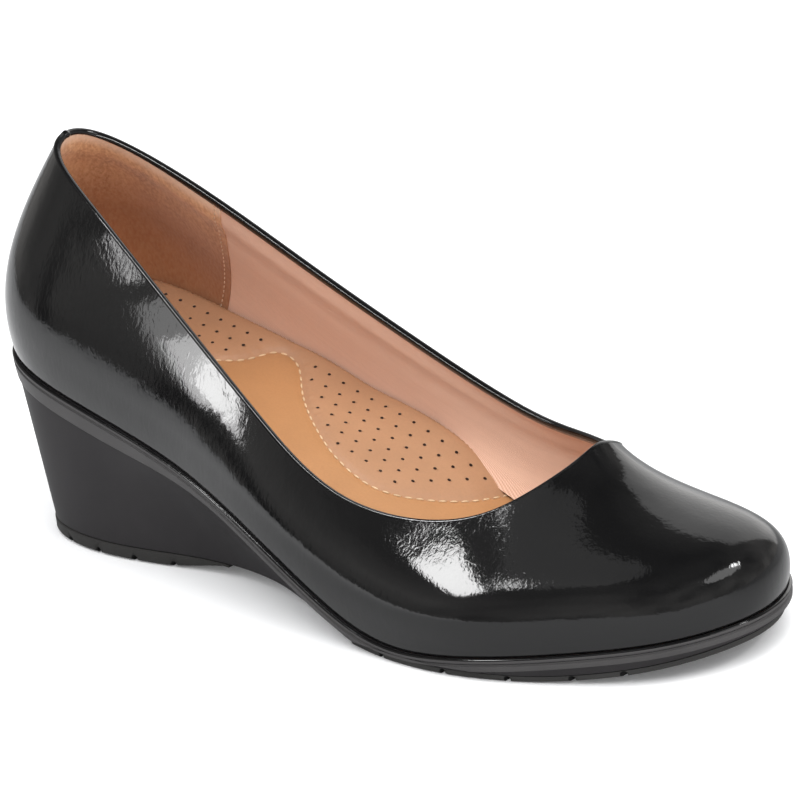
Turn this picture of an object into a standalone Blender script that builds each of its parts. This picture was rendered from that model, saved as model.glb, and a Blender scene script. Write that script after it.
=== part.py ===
"""A right-foot women's wedge pump, built at rest on the floor.

X runs from the heel to the toe, Y from the outer side (minus) to the inner side (plus), Z is up.
Sizes are millimetres in the tables and metres in the scene.
"""

import bpy
import bmesh
import numpy as np
from mathutils import Vector
from mathutils.geometry import delaunay_2d_cdt

MM = 0.001

# The middle of the shoe's length and width in the tables: it stands over the world origin
FRAME_X = 122.0
FRAME_Y = -2.75

# Wall and edge sizes
WALL = 1.6
GAP = 0.3
FEATHER_INSET = 0.9
BINDING_HEIGHT = 2.5
BINDING_OUTSIDE = 0.3
BINDING_INSIDE = 0.2
BINDING_TOP_RADIUS = 0.95
INSOLE_THICKNESS = 3.2
INSOLE_CLEARANCE = 0.4
INSOLE_EDGE_ROUND = 0.6
FOOTBED_CUP_WIDTH = 12.0

# Moulded sole sizes
BEAD_HEIGHT = 1.4
BEAD_ROUND = 0.5
BEAD_GROOVE_DEPTH = 0.45
BEAD_GROOVE_HEIGHT = 0.5
BAND_STEP = 0.3
BAND_HEEL_HEIGHT = 6.0
BAND_FORE_HEIGHT = 3.4
BAND_TAPER_END_X = 100.0
BAND_HEEL_TUCK = 0.4
WAIST_HOLLOW = 1.6
TREAD_INSET = 0.4
HEEL_TREAD_TOP = 3.7
HEEL_TREAD_PROUD = 0.2
HEEL_TREAD_FRONT_X = 84.0
HEEL_TREAD_ROUND = 1.2
FORE_TREAD_BACK_X = 143.0
FORE_TREAD_ROUND = 0.5
TOE_SPRING_START_X = 195.0
TOE_SPRING_LENGTH = 50.0
TOE_SPRING_HEIGHT = 6.5
TOE_SPRING_POWER = 1.8

# Tread grooves that run across the underside
HEEL_GROOVES_X = (28.0, 40.0, 52.5, 65.0)
HEEL_GROOVE_RADIUS = 1.0
HEEL_GROOVE_CENTRE_Z = 0.7
FORE_GROOVES_X = (156.0, 177.0, 195.0, 211.0, 223.0)
FORE_GROOVE_RADIUS = 0.9
FORE_GROOVE_CENTRE_Z = 0.1

# Mesh fineness
COLUMNS = 88
WALL_ROWS = 12
BINDING_STEPS = 5
SOLE_WALL_ROWS = 3
CUT_MARGIN = 1.5

# One row per section round the shoe: heel, outer side, toe, inner side.
# lip = top edge of the sole seen from above, base = edge of its underside.
OUTLINE_COLUMNS = ("section", "lip_x", "lip_y", "base_x", "base_y")
OUTLINE = (
    ("heel back", 0.5, 0.0, 9.4, -0.5),
    ("outer heel corner", 10.4, -24.0, 16.4, -21.5),
    ("outer heel side", 38.0, -31.2, 42.0, -29.6),
    ("outer waist back", 76.0, -34.4, 77.0, -25.5),
    ("outer waist front", 113.0, -41.5, 111.5, -31.6),
    ("outer ball back", 149.0, -45.3, 149.0, -44.0),
    ("outer ball front", 182.0, -45.2, 181.5, -44.5),
    ("outer toe back", 214.5, -34.2, 213.5, -33.0),
    ("outer toe front", 236.0, -20.0, 234.0, -19.0),
    ("toe tip", 244.3, 1.5, 242.0, 1.5),
    ("inner toe front", 237.2, 20.8, 235.2, 19.9),
    ("inner toe back", 221.2, 34.8, 220.2, 33.9),
    ("inner ball front", 191.4, 40.3, 191.4, 39.2),
    ("inner ball back", 160.5, 34.8, 160.5, 34.0),
    ("inner waist front", 122.2, 33.2, 120.2, 28.3),
    ("inner waist back", 82.0, 31.4, 81.0, 24.7),
    ("inner heel side", 39.7, 29.8, 42.8, 26.5),
    ("inner heel corner", 10.2, 23.5, 17.5, 18.0),
)

# The collar line, and how the wall leaves the sole and reaches the collar in each section.
# Leans are degrees outward from upright, pulls are the lengths in mm that they hold for.
COLLAR_COLUMNS = ("section", "x", "y", "z", "foot_lean", "foot_pull", "collar_lean", "collar_pull")
COLLAR = (
    ("heel back", 15.0, 0.0, 103.2, 13.5, 21.5, 35.5, 21.5),
    ("outer heel corner", 21.5, -9.5, 99.5, 13.5, 21.0, 30.5, 21.5),
    ("outer heel side", 42.5, -17.6, 89.6, 11.0, 18.0, 21.0, 18.0),
    ("outer waist back", 76.4, -25.4, 69.8, 9.0, 12.0, 15.5, 12.0),
    ("outer waist front", 107.5, -32.0, 51.6, 10.0, 12.0, 21.0, 12.0),
    ("outer ball back", 138.8, -35.0, 36.6, 12.0, 14.0, 35.5, 14.0),
    ("outer ball front", 168.5, -29.8, 34.5, 12.0, 16.5, 41.0, 19.0),
    ("outer toe back", 186.6, -18.6, 41.1, 10.0, 18.5, 45.5, 26.0),
    ("outer toe front", 193.6, -6.5, 47.2, 9.0, 24.0, 42.0, 26.0),
    ("toe tip", 194.6, 2.5, 49.3, 12.0, 28.5, 38.5, 27.5),
    ("inner toe front", 190.5, 12.5, 44.8, 15.5, 26.0, 37.0, 25.5),
    ("inner toe back", 180.5, 22.0, 38.8, 13.0, 15.0, 36.0, 19.5),
    ("inner ball front", 163.0, 29.6, 35.8, 13.0, 15.5, 39.0, 16.0),
    ("inner ball back", 140.8, 32.7, 37.0, 12.0, 14.0, 35.5, 14.0),
    ("inner waist front", 108.3, 28.0, 52.2, 10.0, 12.0, 21.0, 12.0),
    ("inner waist back", 77.2, 21.7, 70.4, 9.0, 12.0, 15.5, 12.0),
    ("inner heel side", 40.4, 16.6, 89.6, 11.0, 18.0, 21.0, 18.0),
    ("inner heel corner", 18.0, 10.6, 99.8, 13.8, 21.5, 30.5, 21.5),
)

# Height of the sole's top face, and of its moulded underside, along the shoe
DECK_COLUMNS = ("x", "z")
DECK = (
    (0.0, 51.2),
    (30.0, 43.8),
    (60.0, 36.8),
    (90.0, 29.1),
    (120.0, 17.2),
    (150.0, 4.8),
    (180.0, 4.8),
    (210.0, 8.1),
    (246.0, 12.8),
)
UNDERSIDE_COLUMNS = ("x", "z")
UNDERSIDE = (
    (0.0, 4.0),
    (84.0, 4.0),
    (108.0, 5.0),
    (122.0, 4.3),
    (134.0, 3.0),
    (144.0, 1.8),
    (246.0, 1.8),
)

# How far the footbed's edge stands above its middle, on each side of the foot
FOOTBED_COLUMNS = ("x", "inner_rise", "outer_rise")
FOOTBED = (
    (0.0, 2.6, 2.6),
    (40.0, 3.0, 2.6),
    (62.0, 3.0, 2.0),
    (76.0, 2.5, 1.2),
    (88.0, 1.3, 0.6),
    (98.0, 1.9, 0.2),
    (110.0, 2.9, 0.0),
    (118.0, 2.9, 0.0),
    (130.0, 1.0, 0.0),
    (145.0, 0.0, 0.0),
    (246.0, 0.0, 0.0),
)


def column(table, names, wanted):
    """One named column of a table as an array."""
    at = names.index(wanted)
    return np.array([row[at] for row in table], float)


def columns(table, names, *wanted):
    return np.stack([column(table, names, name) for name in wanted], axis=1)


def closed_spline(knots, values, at):
    """A smooth closed curve through the rows, with its second derivative continuous."""
    knots = np.append(knots, knots[0] + 1.0)
    values = np.vstack([values, values[:1]])
    count = len(knots) - 1
    gap = np.diff(knots)
    slope = np.diff(values, axis=0) / gap[:, None]
    matrix = np.zeros((count, count))
    right = np.zeros((count, values.shape[1]))
    for i in range(count):
        before = (i - 1) % count
        after = (i + 1) % count
        matrix[i, before] += gap[before]
        matrix[i, i] += 2.0 * (gap[before] + gap[i])
        matrix[i, after] += gap[i]
        right[i] = 6.0 * (slope[i] - slope[before])
    bend = np.linalg.solve(matrix, right)
    bend = np.vstack([bend, bend[:1]])
    place = (np.asarray(at, float) - knots[0]) % 1.0 + knots[0]
    i = np.clip(np.searchsorted(knots, place, side="right") - 1, 0, count - 1)
    h = gap[i][:, None]
    a = (knots[i + 1] - place)[:, None]
    b = (place - knots[i])[:, None]
    ends = (values[i] / h - bend[i] * h / 6.0) * a + (values[i + 1] / h - bend[i + 1] * h / 6.0) * b
    return bend[i] * a**3 / (6.0 * h) + bend[i + 1] * b**3 / (6.0 * h) + ends


def open_spline(knots, values, at):
    """A smooth curve through the rows with straight ends."""
    count = len(knots)
    gap = np.diff(knots)
    slope = np.diff(values) / gap
    matrix = np.eye(count)
    right = np.zeros(count)
    for i in range(1, count - 1):
        matrix[i, i - 1] = gap[i - 1]
        matrix[i, i] = 2.0 * (gap[i - 1] + gap[i])
        matrix[i, i + 1] = gap[i]
        right[i] = 6.0 * (slope[i] - slope[i - 1])
    bend = np.linalg.solve(matrix, right)
    place = np.clip(np.asarray(at, float), knots[0], knots[-1])
    i = np.clip(np.searchsorted(knots, place, side="right") - 1, 0, count - 2)
    h = gap[i]
    a = knots[i + 1] - place
    b = place - knots[i]
    ends = (values[i] / h - bend[i] * h / 6.0) * a + (values[i + 1] / h - bend[i + 1] * h / 6.0) * b
    return bend[i] * a**3 / (6.0 * h) + bend[i + 1] * b**3 / (6.0 * h) + ends


def smooth(value, low, high):
    t = np.clip((np.asarray(value, float) - low) / (high - low), 0.0, 1.0)
    return t * t * (3.0 - 2.0 * t)


def deck(x):
    """Height of the sole's top face."""
    return open_spline(column(DECK, DECK_COLUMNS, "x"), column(DECK, DECK_COLUMNS, "z"), x)


def toe_spring(x):
    lift = np.clip((np.asarray(x, float) - TOE_SPRING_START_X) / TOE_SPRING_LENGTH, 0.0, None)
    return TOE_SPRING_HEIGHT * lift**TOE_SPRING_POWER


def underside(x):
    """Height of the moulded sole's underside, above the treads."""
    x_rows = column(UNDERSIDE, UNDERSIDE_COLUMNS, "x")
    z_rows = column(UNDERSIDE, UNDERSIDE_COLUMNS, "z")
    near = (x[:, None] + np.linspace(-6.0, 6.0, 13)[None, :]).clip(0.0, 246.0)
    return np.interp(near, x_rows, z_rows).mean(axis=1) + toe_spring(x)


def band_height(x):
    """Height of the glossy rim under the upper: tall at the heel, low from the waist on."""
    taper = smooth(x, 40.0, BAND_TAPER_END_X)
    return BAND_HEEL_HEIGHT + (BAND_FORE_HEIGHT - BAND_HEEL_HEIGHT) * taper


LIP_ROWS = columns(OUTLINE, OUTLINE_COLUMNS, "lip_x", "lip_y")
STEPS = np.linalg.norm(np.diff(np.vstack([LIP_ROWS, LIP_ROWS[:1]]), axis=0), axis=1)
KNOTS = np.concatenate([[0.0], np.cumsum(STEPS)])[:-1] / STEPS.sum()


def lip(at):
    return closed_spline(KNOTS, LIP_ROWS, at)


def base(at):
    return closed_spline(KNOTS, columns(OUTLINE, OUTLINE_COLUMNS, "base_x", "base_y"), at)


def outward(curve, at):
    """Unit plan normals of a closed curve, pointing away from the foot."""
    step = 1e-3
    run = curve(at + step) - curve(at - step)
    run /= np.linalg.norm(run, axis=1, keepdims=True)
    return np.stack([run[:, 1], -run[:, 0]], axis=1)


def outer_surface(at, rows, collar_margin):
    """Points of the upper's outer face, from the sole up to a margin below the collar line."""
    collar = closed_spline(KNOTS, columns(COLLAR, COLLAR_COLUMNS, "x", "y", "z"), at)
    shape = closed_spline(
        KNOTS,
        columns(COLLAR, COLLAR_COLUMNS, "foot_lean", "foot_pull", "collar_lean", "collar_pull"),
        at,
    )
    out = outward(lip, at)
    foot_plan = lip(at) - FEATHER_INSET * out
    foot = np.column_stack([foot_plan, deck(foot_plan[:, 0]) + GAP])
    side = np.column_stack([out, np.zeros(len(at))])
    up = np.array([0.0, 0.0, 1.0])
    foot_lean = np.radians(shape[:, :1])
    collar_lean = np.radians(shape[:, 2:3])
    low = foot + shape[:, 1:2] * (np.cos(foot_lean) * up + np.sin(foot_lean) * side)
    high = collar + shape[:, 3:4] * (np.sin(collar_lean) * side - np.cos(collar_lean) * up)
    fine = np.linspace(0.0, 1.0, 81)[None, :, None]
    points = (1 - fine) ** 3 * foot[:, None] + 3 * fine * (1 - fine) ** 2 * low[:, None]
    points = points + 3 * fine**2 * (1 - fine) * high[:, None] + fine**3 * collar[:, None]
    result = np.zeros((len(at), rows + 1, 3))
    for i in range(len(at)):
        run = np.concatenate([[0.0], np.cumsum(np.linalg.norm(np.diff(points[i], axis=0), axis=1))])
        wanted = np.linspace(0.0, run[-1] - collar_margin, rows + 1)
        for axis in range(3):
            result[i, :, axis] = np.interp(wanted, run, points[i, :, axis])
    return result


def plan_fill(loop):
    """Triangles inside a closed plan outline."""
    count = len(loop)
    edges = [(i, (i + 1) % count) for i in range(count)]
    found = delaunay_2d_cdt([Vector(p) for p in loop], edges, [], 1, 1e-7)
    back = {new: old[0] for new, old in enumerate(found[3])}
    return [[back[v] for v in face] for face in found[2]]


def finished(name, verts, faces, material, collection):
    """A closed mesh object in metres, facing out, shaded smooth with its hard edges kept."""
    mesh = bpy.data.meshes.new(name)
    mesh.from_pydata([tuple(np.asarray(v) * MM) for v in verts], [], [tuple(f) for f in faces])
    work = bmesh.new()
    work.from_mesh(mesh)
    bmesh.ops.recalc_face_normals(work, faces=work.faces)
    for edge in work.edges:
        if len(edge.link_faces) == 2 and edge.calc_face_angle(0.0) > np.radians(40.0):
            edge.smooth = False
    for face in work.faces:
        face.smooth = True
    work.to_mesh(mesh)
    work.free()
    obj = bpy.data.objects.new(name, mesh)
    mesh.materials.append(material)
    collection.objects.link(obj)
    obj.location = (-FRAME_X * MM, -FRAME_Y * MM, 0.0)
    return obj


def loops_solid(name, loops, heights, material, collection):
    """A solid from plan loops with heights, joined in order, its first and last loops filled."""
    count = len(loops[0])
    verts = [(p[0], p[1], z) for loop, height in zip(loops, heights) for p, z in zip(loop, height)]
    faces = []
    for ring in range(len(loops) - 1):
        for i in range(count):
            j = (i + 1) % count
            lower = ring * count
            upper = lower + count
            faces.append((lower + i, lower + j, upper + j, upper + i))
    faces += [tuple(f) for f in plan_fill(loops[0])]
    last = (len(loops) - 1) * count
    faces += [tuple(v + last for v in f) for f in plan_fill(loops[-1])]
    return finished(name, verts, faces, material, collection)


def plain_material(name, colour, roughness, coat):
    material = bpy.data.materials.new(name)
    material.use_nodes = True
    shader = material.node_tree.nodes["Principled BSDF"]
    shader.inputs["Base Color"].default_value = (*colour, 1.0)
    shader.inputs["Roughness"].default_value = roughness
    shader.inputs["Coat Weight"].default_value = coat
    return material


def build_upper(collection, material):
    """The lasted patent upper: a thin wall open at the collar and underneath."""
    at = np.arange(COLUMNS) / COLUMNS
    surface = outer_surface(at, WALL_ROWS, BINDING_HEIGHT + GAP)
    verts = surface.reshape(-1, 3)
    row = WALL_ROWS + 1
    faces = []
    for i in range(COLUMNS):
        j = (i + 1) % COLUMNS
        for k in range(WALL_ROWS):
            faces.append((i * row + k, j * row + k, j * row + k + 1, i * row + k + 1))
    obj = finished("upper", verts, faces, material, collection)
    shell = obj.modifiers.new("wall", "SOLIDIFY")
    shell.thickness = WALL * MM
    shell.offset = -1.0
    shell.use_even_offset = True
    shell.use_rim = True
    return obj


def build_binding(collection, material):
    """The rolled patent binding that covers the collar edge."""
    at = np.arange(COLUMNS) / COLUMNS
    full = outer_surface(at, 40, 0.0)
    top = full[:, -1]
    rise = full[:, -1] - full[:, -4]
    rise /= np.linalg.norm(rise, axis=1, keepdims=True)
    along = np.roll(top, -1, axis=0) - np.roll(top, 1, axis=0)
    out = np.cross(along, rise)
    out /= np.linalg.norm(out, axis=1, keepdims=True)
    low = -BINDING_HEIGHT
    outer = BINDING_OUTSIDE
    inner = -WALL - BINDING_INSIDE
    middle = 0.5 * (outer + inner)
    half = 0.5 * (outer - inner)
    section = [(outer, low)]
    for step in range(BINDING_STEPS + 1):
        turn = np.pi * step / BINDING_STEPS
        section.append((middle + half * np.cos(turn), (np.sin(turn) - 1.0) * BINDING_TOP_RADIUS))
    section.append((inner, low))
    verts = []
    for i in range(COLUMNS):
        for across, height in section:
            verts.append(top[i] + across * out[i] + height * rise[i])
    size = len(section)
    faces = []
    for i in range(COLUMNS):
        j = (i + 1) % COLUMNS
        for k in range(size):
            m = (k + 1) % size
            faces.append((i * size + k, j * size + k, j * size + m, i * size + m))
    return finished("topline_binding", verts, faces, material, collection)


def footbed_rise(plan, share):
    """How far the footbed's edge is raised into its heel cup and its inner arch pad."""
    x = plan[:, 0]
    rows = column(FOOTBED, FOOTBED_COLUMNS, "x")
    inner = np.interp(x, rows, column(FOOTBED, FOOTBED_COLUMNS, "inner_rise"))
    outer = np.interp(x, rows, column(FOOTBED, FOOTBED_COLUMNS, "outer_rise"))
    side = smooth(plan[:, 1], -12.0, 12.0)
    return share * (outer + (inner - outer) * side)


def build_insole(collection, material):
    """The footbed that lies on the sole inside the upper."""
    at = np.arange(COLUMNS) / COLUMNS
    out = outward(lip, at)
    edge = lip(at) - (FEATHER_INSET + WALL + INSOLE_CLEARANCE) * out
    tucked = edge - INSOLE_EDGE_ROUND * out
    cup = edge - FOOTBED_CUP_WIDTH * out
    low = deck(edge[:, 0]) + GAP
    side = deck(edge[:, 0]) + INSOLE_THICKNESS - 0.5 * INSOLE_EDGE_ROUND + footbed_rise(edge, 1.0)
    high = deck(tucked[:, 0]) + INSOLE_THICKNESS + footbed_rise(tucked, 1.0)
    flat = deck(cup[:, 0]) + INSOLE_THICKNESS + footbed_rise(cup, 0.3)
    loops = [edge, edge, tucked, cup]
    return loops_solid("insole", loops, [low, side, high, flat], material, collection)


def build_wedge(collection, material):
    """The moulded wedge: bead, glossy rim band, step and tapering wall."""
    at = np.arange(COLUMNS) / COLUMNS
    rim = lip(at)
    out = outward(lip, at)
    x = rim[:, 0]
    top = deck(x)
    bottom_edge = base(at)
    low = underside(bottom_edge[:, 0])
    tuck = BAND_HEEL_TUCK * (1.0 - smooth(x, 0.0, 60.0))
    band_low = np.maximum(top - band_height(x), underside(x) + 0.35)
    band_top = top - BEAD_HEIGHT - BEAD_GROOVE_HEIGHT
    loops = []
    heights = []

    def add(loop, height):
        loops.append(loop)
        heights.append(height)

    inner = rim - BEAD_ROUND * out
    add(inner, deck(inner[:, 0]))
    add(rim, top - BEAD_ROUND)
    add(rim - 0.1 * out, top - BEAD_HEIGHT)
    add(rim - BEAD_GROOVE_DEPTH * out, top - BEAD_HEIGHT - 0.5 * BEAD_GROOVE_HEIGHT)
    add(rim - 0.1 * out, band_top)
    low_band = rim - (0.25 + tuck[:, None]) * out
    add(low_band, band_low)
    step = BAND_STEP * smooth(band_low - low, 0.5, 4.0)
    wall_top = low_band - step[:, None] * out
    add(wall_top, band_low - 0.15)
    hollow = WAIST_HOLLOW * smooth(x, 50.0, 90.0) * (1.0 - smooth(x, 115.0, 145.0))
    for row in range(1, SOLE_WALL_ROWS + 1):
        t = row / SOLE_WALL_ROWS
        sag = 4.0 * t * (1.0 - t) * hollow
        loop = wall_top + t * (bottom_edge - wall_top) - sag[:, None] * out
        add(loop, band_low - 0.15 + t * (low - band_low + 0.15))
    return loops_solid("wedge_sole", loops, heights, material, collection)


def cut_outline(loop, limit, keep_below):
    """A closed outline cut straight across at one place along the shoe."""
    away = limit - loop[:, 0] if keep_below else loop[:, 0] - limit
    inside = away > CUT_MARGIN
    count = len(loop)
    kept = []
    for i in range(count):
        j = (i + 1) % count
        if inside[i]:
            kept.append(loop[i])
        if inside[i] != inside[j]:
            t = (limit - loop[i, 0]) / (loop[j, 0] - loop[i, 0])
            kept.append(loop[i] + t * (loop[j] - loop[i]))
    return np.array(kept)


def shrunk(loop, distance):
    """A closed outline moved inwards by about the given distance."""
    ahead = np.roll(loop, -1, axis=0) - loop
    behind = loop - np.roll(loop, 1, axis=0)
    ahead /= np.linalg.norm(ahead, axis=1, keepdims=True)
    behind /= np.linalg.norm(behind, axis=1, keepdims=True)
    run = ahead + behind
    run /= np.linalg.norm(run, axis=1, keepdims=True)
    inward = np.stack([-run[:, 1], run[:, 0]], axis=1)
    return loop + distance * inward


def grooved(obj, centres, radius, heights, cutters):
    """Cuts round-topped grooves across the underside of a tread."""
    for number, (x, height) in enumerate(zip(centres, heights)):
        bpy.ops.mesh.primitive_cylinder_add(
            vertices=12,
            radius=radius * MM,
            depth=0.12,
            location=((x - FRAME_X) * MM, 0.0, height * MM),
            rotation=(np.pi / 2.0, 0.0, 0.0),
        )
        cutter = bpy.context.object
        cutter.name = obj.name + "_groove_cutter_" + str(number + 1)
        cutter.hide_render = True
        cutter.display_type = "WIRE"
        for holder in list(cutter.users_collection):
            holder.objects.unlink(cutter)
        cutters.objects.link(cutter)
        cut = obj.modifiers.new("groove " + str(number + 1), "BOOLEAN")
        cut.operation = "DIFFERENCE"
        cut.solver = "EXACT"
        cut.object = cutter


def build_heel_outsole(collection, material, cutters):
    """The heel tread: flat on the floor, lifting a little towards the waist."""
    at = np.arange(COLUMNS) / COLUMNS
    loop = base(at) + HEEL_TREAD_PROUD * outward(base, at)
    edge = cut_outline(loop, HEEL_TREAD_FRONT_X, True)
    low = shrunk(edge, HEEL_TREAD_ROUND)
    top = np.full(len(edge), HEEL_TREAD_TOP)
    lift = 3.0 * smooth(edge[:, 0], 62.0, 92.0)
    side = np.minimum(lift + HEEL_TREAD_ROUND, HEEL_TREAD_TOP - 0.4)
    floor = np.minimum(3.0 * smooth(low[:, 0], 62.0, 92.0), HEEL_TREAD_TOP - 0.8)
    obj = loops_solid("heel_outsole", [edge, edge, low], [top, side, floor], material, collection)
    heights = np.full(len(HEEL_GROOVES_X), HEEL_GROOVE_CENTRE_Z)
    grooved(obj, HEEL_GROOVES_X, HEEL_GROOVE_RADIUS, heights, cutters)
    return obj


def build_fore_outsole(collection, material, cutters):
    """The forefoot tread: thin, flat under the ball and turned up at the toe."""
    at = np.arange(COLUMNS) / COLUMNS
    loop = base(at) - TREAD_INSET * outward(base, at)
    edge = cut_outline(loop, FORE_TREAD_BACK_X, False)
    low = shrunk(edge, FORE_TREAD_ROUND)
    top = underside(edge[:, 0]) - GAP
    side = toe_spring(edge[:, 0]) + FORE_TREAD_ROUND
    floor = toe_spring(low[:, 0])
    obj = loops_solid("forefoot_outsole", [edge, edge, low], [top, side, floor], material, collection)
    heights = FORE_GROOVE_CENTRE_Z + toe_spring(FORE_GROOVES_X)
    grooved(obj, FORE_GROOVES_X, FORE_GROOVE_RADIUS, heights, cutters)
    return obj


def main():
    for obj in list(bpy.data.objects):
        bpy.data.objects.remove(obj)
    shoe = bpy.data.collections.new("wedge pump")
    bpy.context.scene.collection.children.link(shoe)
    cutters = bpy.data.collections.new("cutters")
    bpy.context.scene.collection.children.link(cutters)
    cutters.hide_render = True
    build_upper(shoe, plain_material("patent_upper", (0.012, 0.012, 0.013), 0.12, 1.0))
    build_binding(shoe, plain_material("patent_binding", (0.012, 0.012, 0.013), 0.16, 0.8))
    build_insole(shoe, plain_material("tan_insole", (0.50, 0.25, 0.11), 0.55, 0.0))
    build_wedge(shoe, plain_material("moulded_sole", (0.055, 0.053, 0.055), 0.5, 0.0))
    build_heel_outsole(shoe, plain_material("heel_tread", (0.05, 0.049, 0.05), 0.6, 0.0), cutters)
    build_fore_outsole(shoe, plain_material("forefoot_tread", (0.05, 0.049, 0.05), 0.6, 0.0), cutters)


main()
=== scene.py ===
"""Looks of a black patent wedge pump for the right foot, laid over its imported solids.

X runs from the heel to the toe, Y from the outer side (minus) to the inner side (plus), Z is up.
Sizes are millimetres in the tables and metres in the scene.
"""

import bmesh
import bpy
import numpy as np
from mathutils import Matrix, Vector
from mathutils.geometry import delaunay_2d_cdt


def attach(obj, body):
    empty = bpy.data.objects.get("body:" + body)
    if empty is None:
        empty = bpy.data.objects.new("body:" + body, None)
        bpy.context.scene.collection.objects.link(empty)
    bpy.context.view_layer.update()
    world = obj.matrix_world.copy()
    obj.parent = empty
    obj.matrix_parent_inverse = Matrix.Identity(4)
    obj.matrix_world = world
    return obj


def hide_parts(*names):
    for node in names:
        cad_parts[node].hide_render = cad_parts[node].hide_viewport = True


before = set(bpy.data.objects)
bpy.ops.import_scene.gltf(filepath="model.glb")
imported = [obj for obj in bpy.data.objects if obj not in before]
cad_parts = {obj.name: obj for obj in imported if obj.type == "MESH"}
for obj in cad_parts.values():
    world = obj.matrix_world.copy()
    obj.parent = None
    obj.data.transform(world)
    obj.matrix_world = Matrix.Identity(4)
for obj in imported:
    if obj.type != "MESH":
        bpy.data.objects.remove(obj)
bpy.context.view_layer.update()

MM = 0.001
FRAME_X = 122.0
FRAME_Y = -2.75
SHIFT = np.array([FRAME_X, FRAME_Y, 0.0])

# Wall and edge sizes
WALL = 1.6
GAP = 0.3
FEATHER_INSET = 0.9
BINDING_HEIGHT = 2.5
BINDING_OUTSIDE = 0.3
BINDING_INSIDE = 0.2
BINDING_TOP_RADIUS = 0.95
INSOLE_THICKNESS = 3.2
INSOLE_CLEARANCE = 0.4
INSOLE_EDGE_ROUND = 0.6

# Moulded sole sizes
BEAD_HEIGHT = 1.4
BEAD_GROOVE_DEPTH = 0.45
BEAD_GROOVE_HEIGHT = 0.5
BEAD_STEPS = 9
BEAD_LEDGE_WIDTH = 1.1
BEAD_LEDGE_DROP = 0.05
BAND_STEP = 0.3
BAND_STEP_DEEPER = 1.6
BAND_STEP_DROP = 0.1
BAND_STEP_FADE = (0.5, 4.0)
BAND_HEEL_HEIGHT = 6.0
BAND_FORE_HEIGHT = 3.4
BAND_TAPER_START_X = 40.0
BAND_TAPER_END_X = 100.0
BAND_HEEL_TUCK = 0.4
BAND_TUCK_END_X = 60.0
BAND_CLEARANCE = 0.35
BAND_LEAN = 0.25
BAND_TOP_ROUND = ((0.32, 0.02), (0.12, 0.16))
BAND_FACE_INSET = 0.08
BAND_FACE_DROP = 0.2
BAND_FACE_SHARES = (0.15, 0.4, 0.65, 0.88)
BAND_FOOT_ROUND = 0.12
WAIST_HOLLOW = 1.6
WAIST_BACK_X = (50.0, 90.0)
WAIST_FRONT_X = (115.0, 145.0)
TREAD_INSET = 0.4
HEEL_TREAD_TOP = 3.7
HEEL_TREAD_PROUD = 0.2
HEEL_TREAD_FRONT_X = 84.0
HEEL_TREAD_ROUND = 1.2
FORE_TREAD_BACK_X = 143.0
FORE_TREAD_ROUND = 0.5
TOE_SPRING_START_X = 195.0
TOE_SPRING_LENGTH = 50.0
TOE_SPRING_HEIGHT = 6.5
TOE_SPRING_POWER = 1.8
UNDERSIDE_BLEND = 6.0
UNDERSIDE_BLEND_STEPS = 13

# Tread grooves that run across the underside
HEEL_GROOVES_X = (28.0, 40.0, 52.5, 65.0)
HEEL_GROOVE_RADIUS = 1.0
HEEL_GROOVE_CENTRE_Z = 0.7
FORE_GROOVES_X = (156.0, 177.0, 195.0, 211.0, 223.0)
FORE_GROOVE_RADIUS = 0.9
FORE_GROOVE_CENTRE_Z = 0.1

# Points of an outline that lie closer than this to a straight cut are left out
CUT_MARGIN = 1.5

# Edges bent by more than this many degrees stay crisp
CRISP_ANGLE = 38.0
SOLE_CRISP_ANGLE = 32.0
FOOTBED_CRISP_ANGLE = 60.0

# The patent skin and its back seam
SKIN_THICKNESS = 0.85
SKIN_ROWS = 60
SKIN_COLUMNS = 300
WALL_SAMPLES = 121
FEATHER_CURL = 0.1
FEATHER_CURL_HEIGHT = 1.1
BACK_SEAM_WIDTH = 0.32
BACK_SEAM_DEPTH = 0.3
BACK_SEAM_SPREAD = (0.0, 0.2, 0.4, 0.7, 1.1, 1.7, 2.5, 3.6)

# The roll of the collar's outer side. It starts and ends between shares of the way round.
TOPLINE_ROLL = 0.95
TOPLINE_ROLL_WIDTH = 18.0
ROLL_STARTS = (0.02, 0.09)
ROLL_ENDS = (0.36, 0.46)

# The turned patent edge. Its outside and inside are each point's distance in and its height.
FOLD_WIDTH = 1.05
FOLD_DEPTH = 2.5
FOLD_HEEL_DEPTH = 0.95
FOLD_DEEPENS_X = (8.0, 50.0)
BINDING_TURN_STEPS = 12
BINDING_COLUMNS = 360
BINDING_ROWS = 40
EDGE_PROUD_SHARE = 0.7
EDGE_OUTSIDE = ((0.7, -BINDING_HEIGHT), (0.6, -FOLD_WIDTH - 0.2), (0.2, -FOLD_WIDTH - 0.02))
EDGE_INSIDE = ((0.06, 0.35 - BINDING_HEIGHT), (0.3, -BINDING_HEIGHT))
EDGE_LEAST_DEPTH = BINDING_TOP_RADIUS + 0.4
SEAM_KNOT_HEIGHT = 0.45
SEAM_KNOT_WIDTH = 1.6
SEAM_KNOT_LOW_SHARE = 0.3
SEAM_KNOT_SPREAD = 0.25

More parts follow.
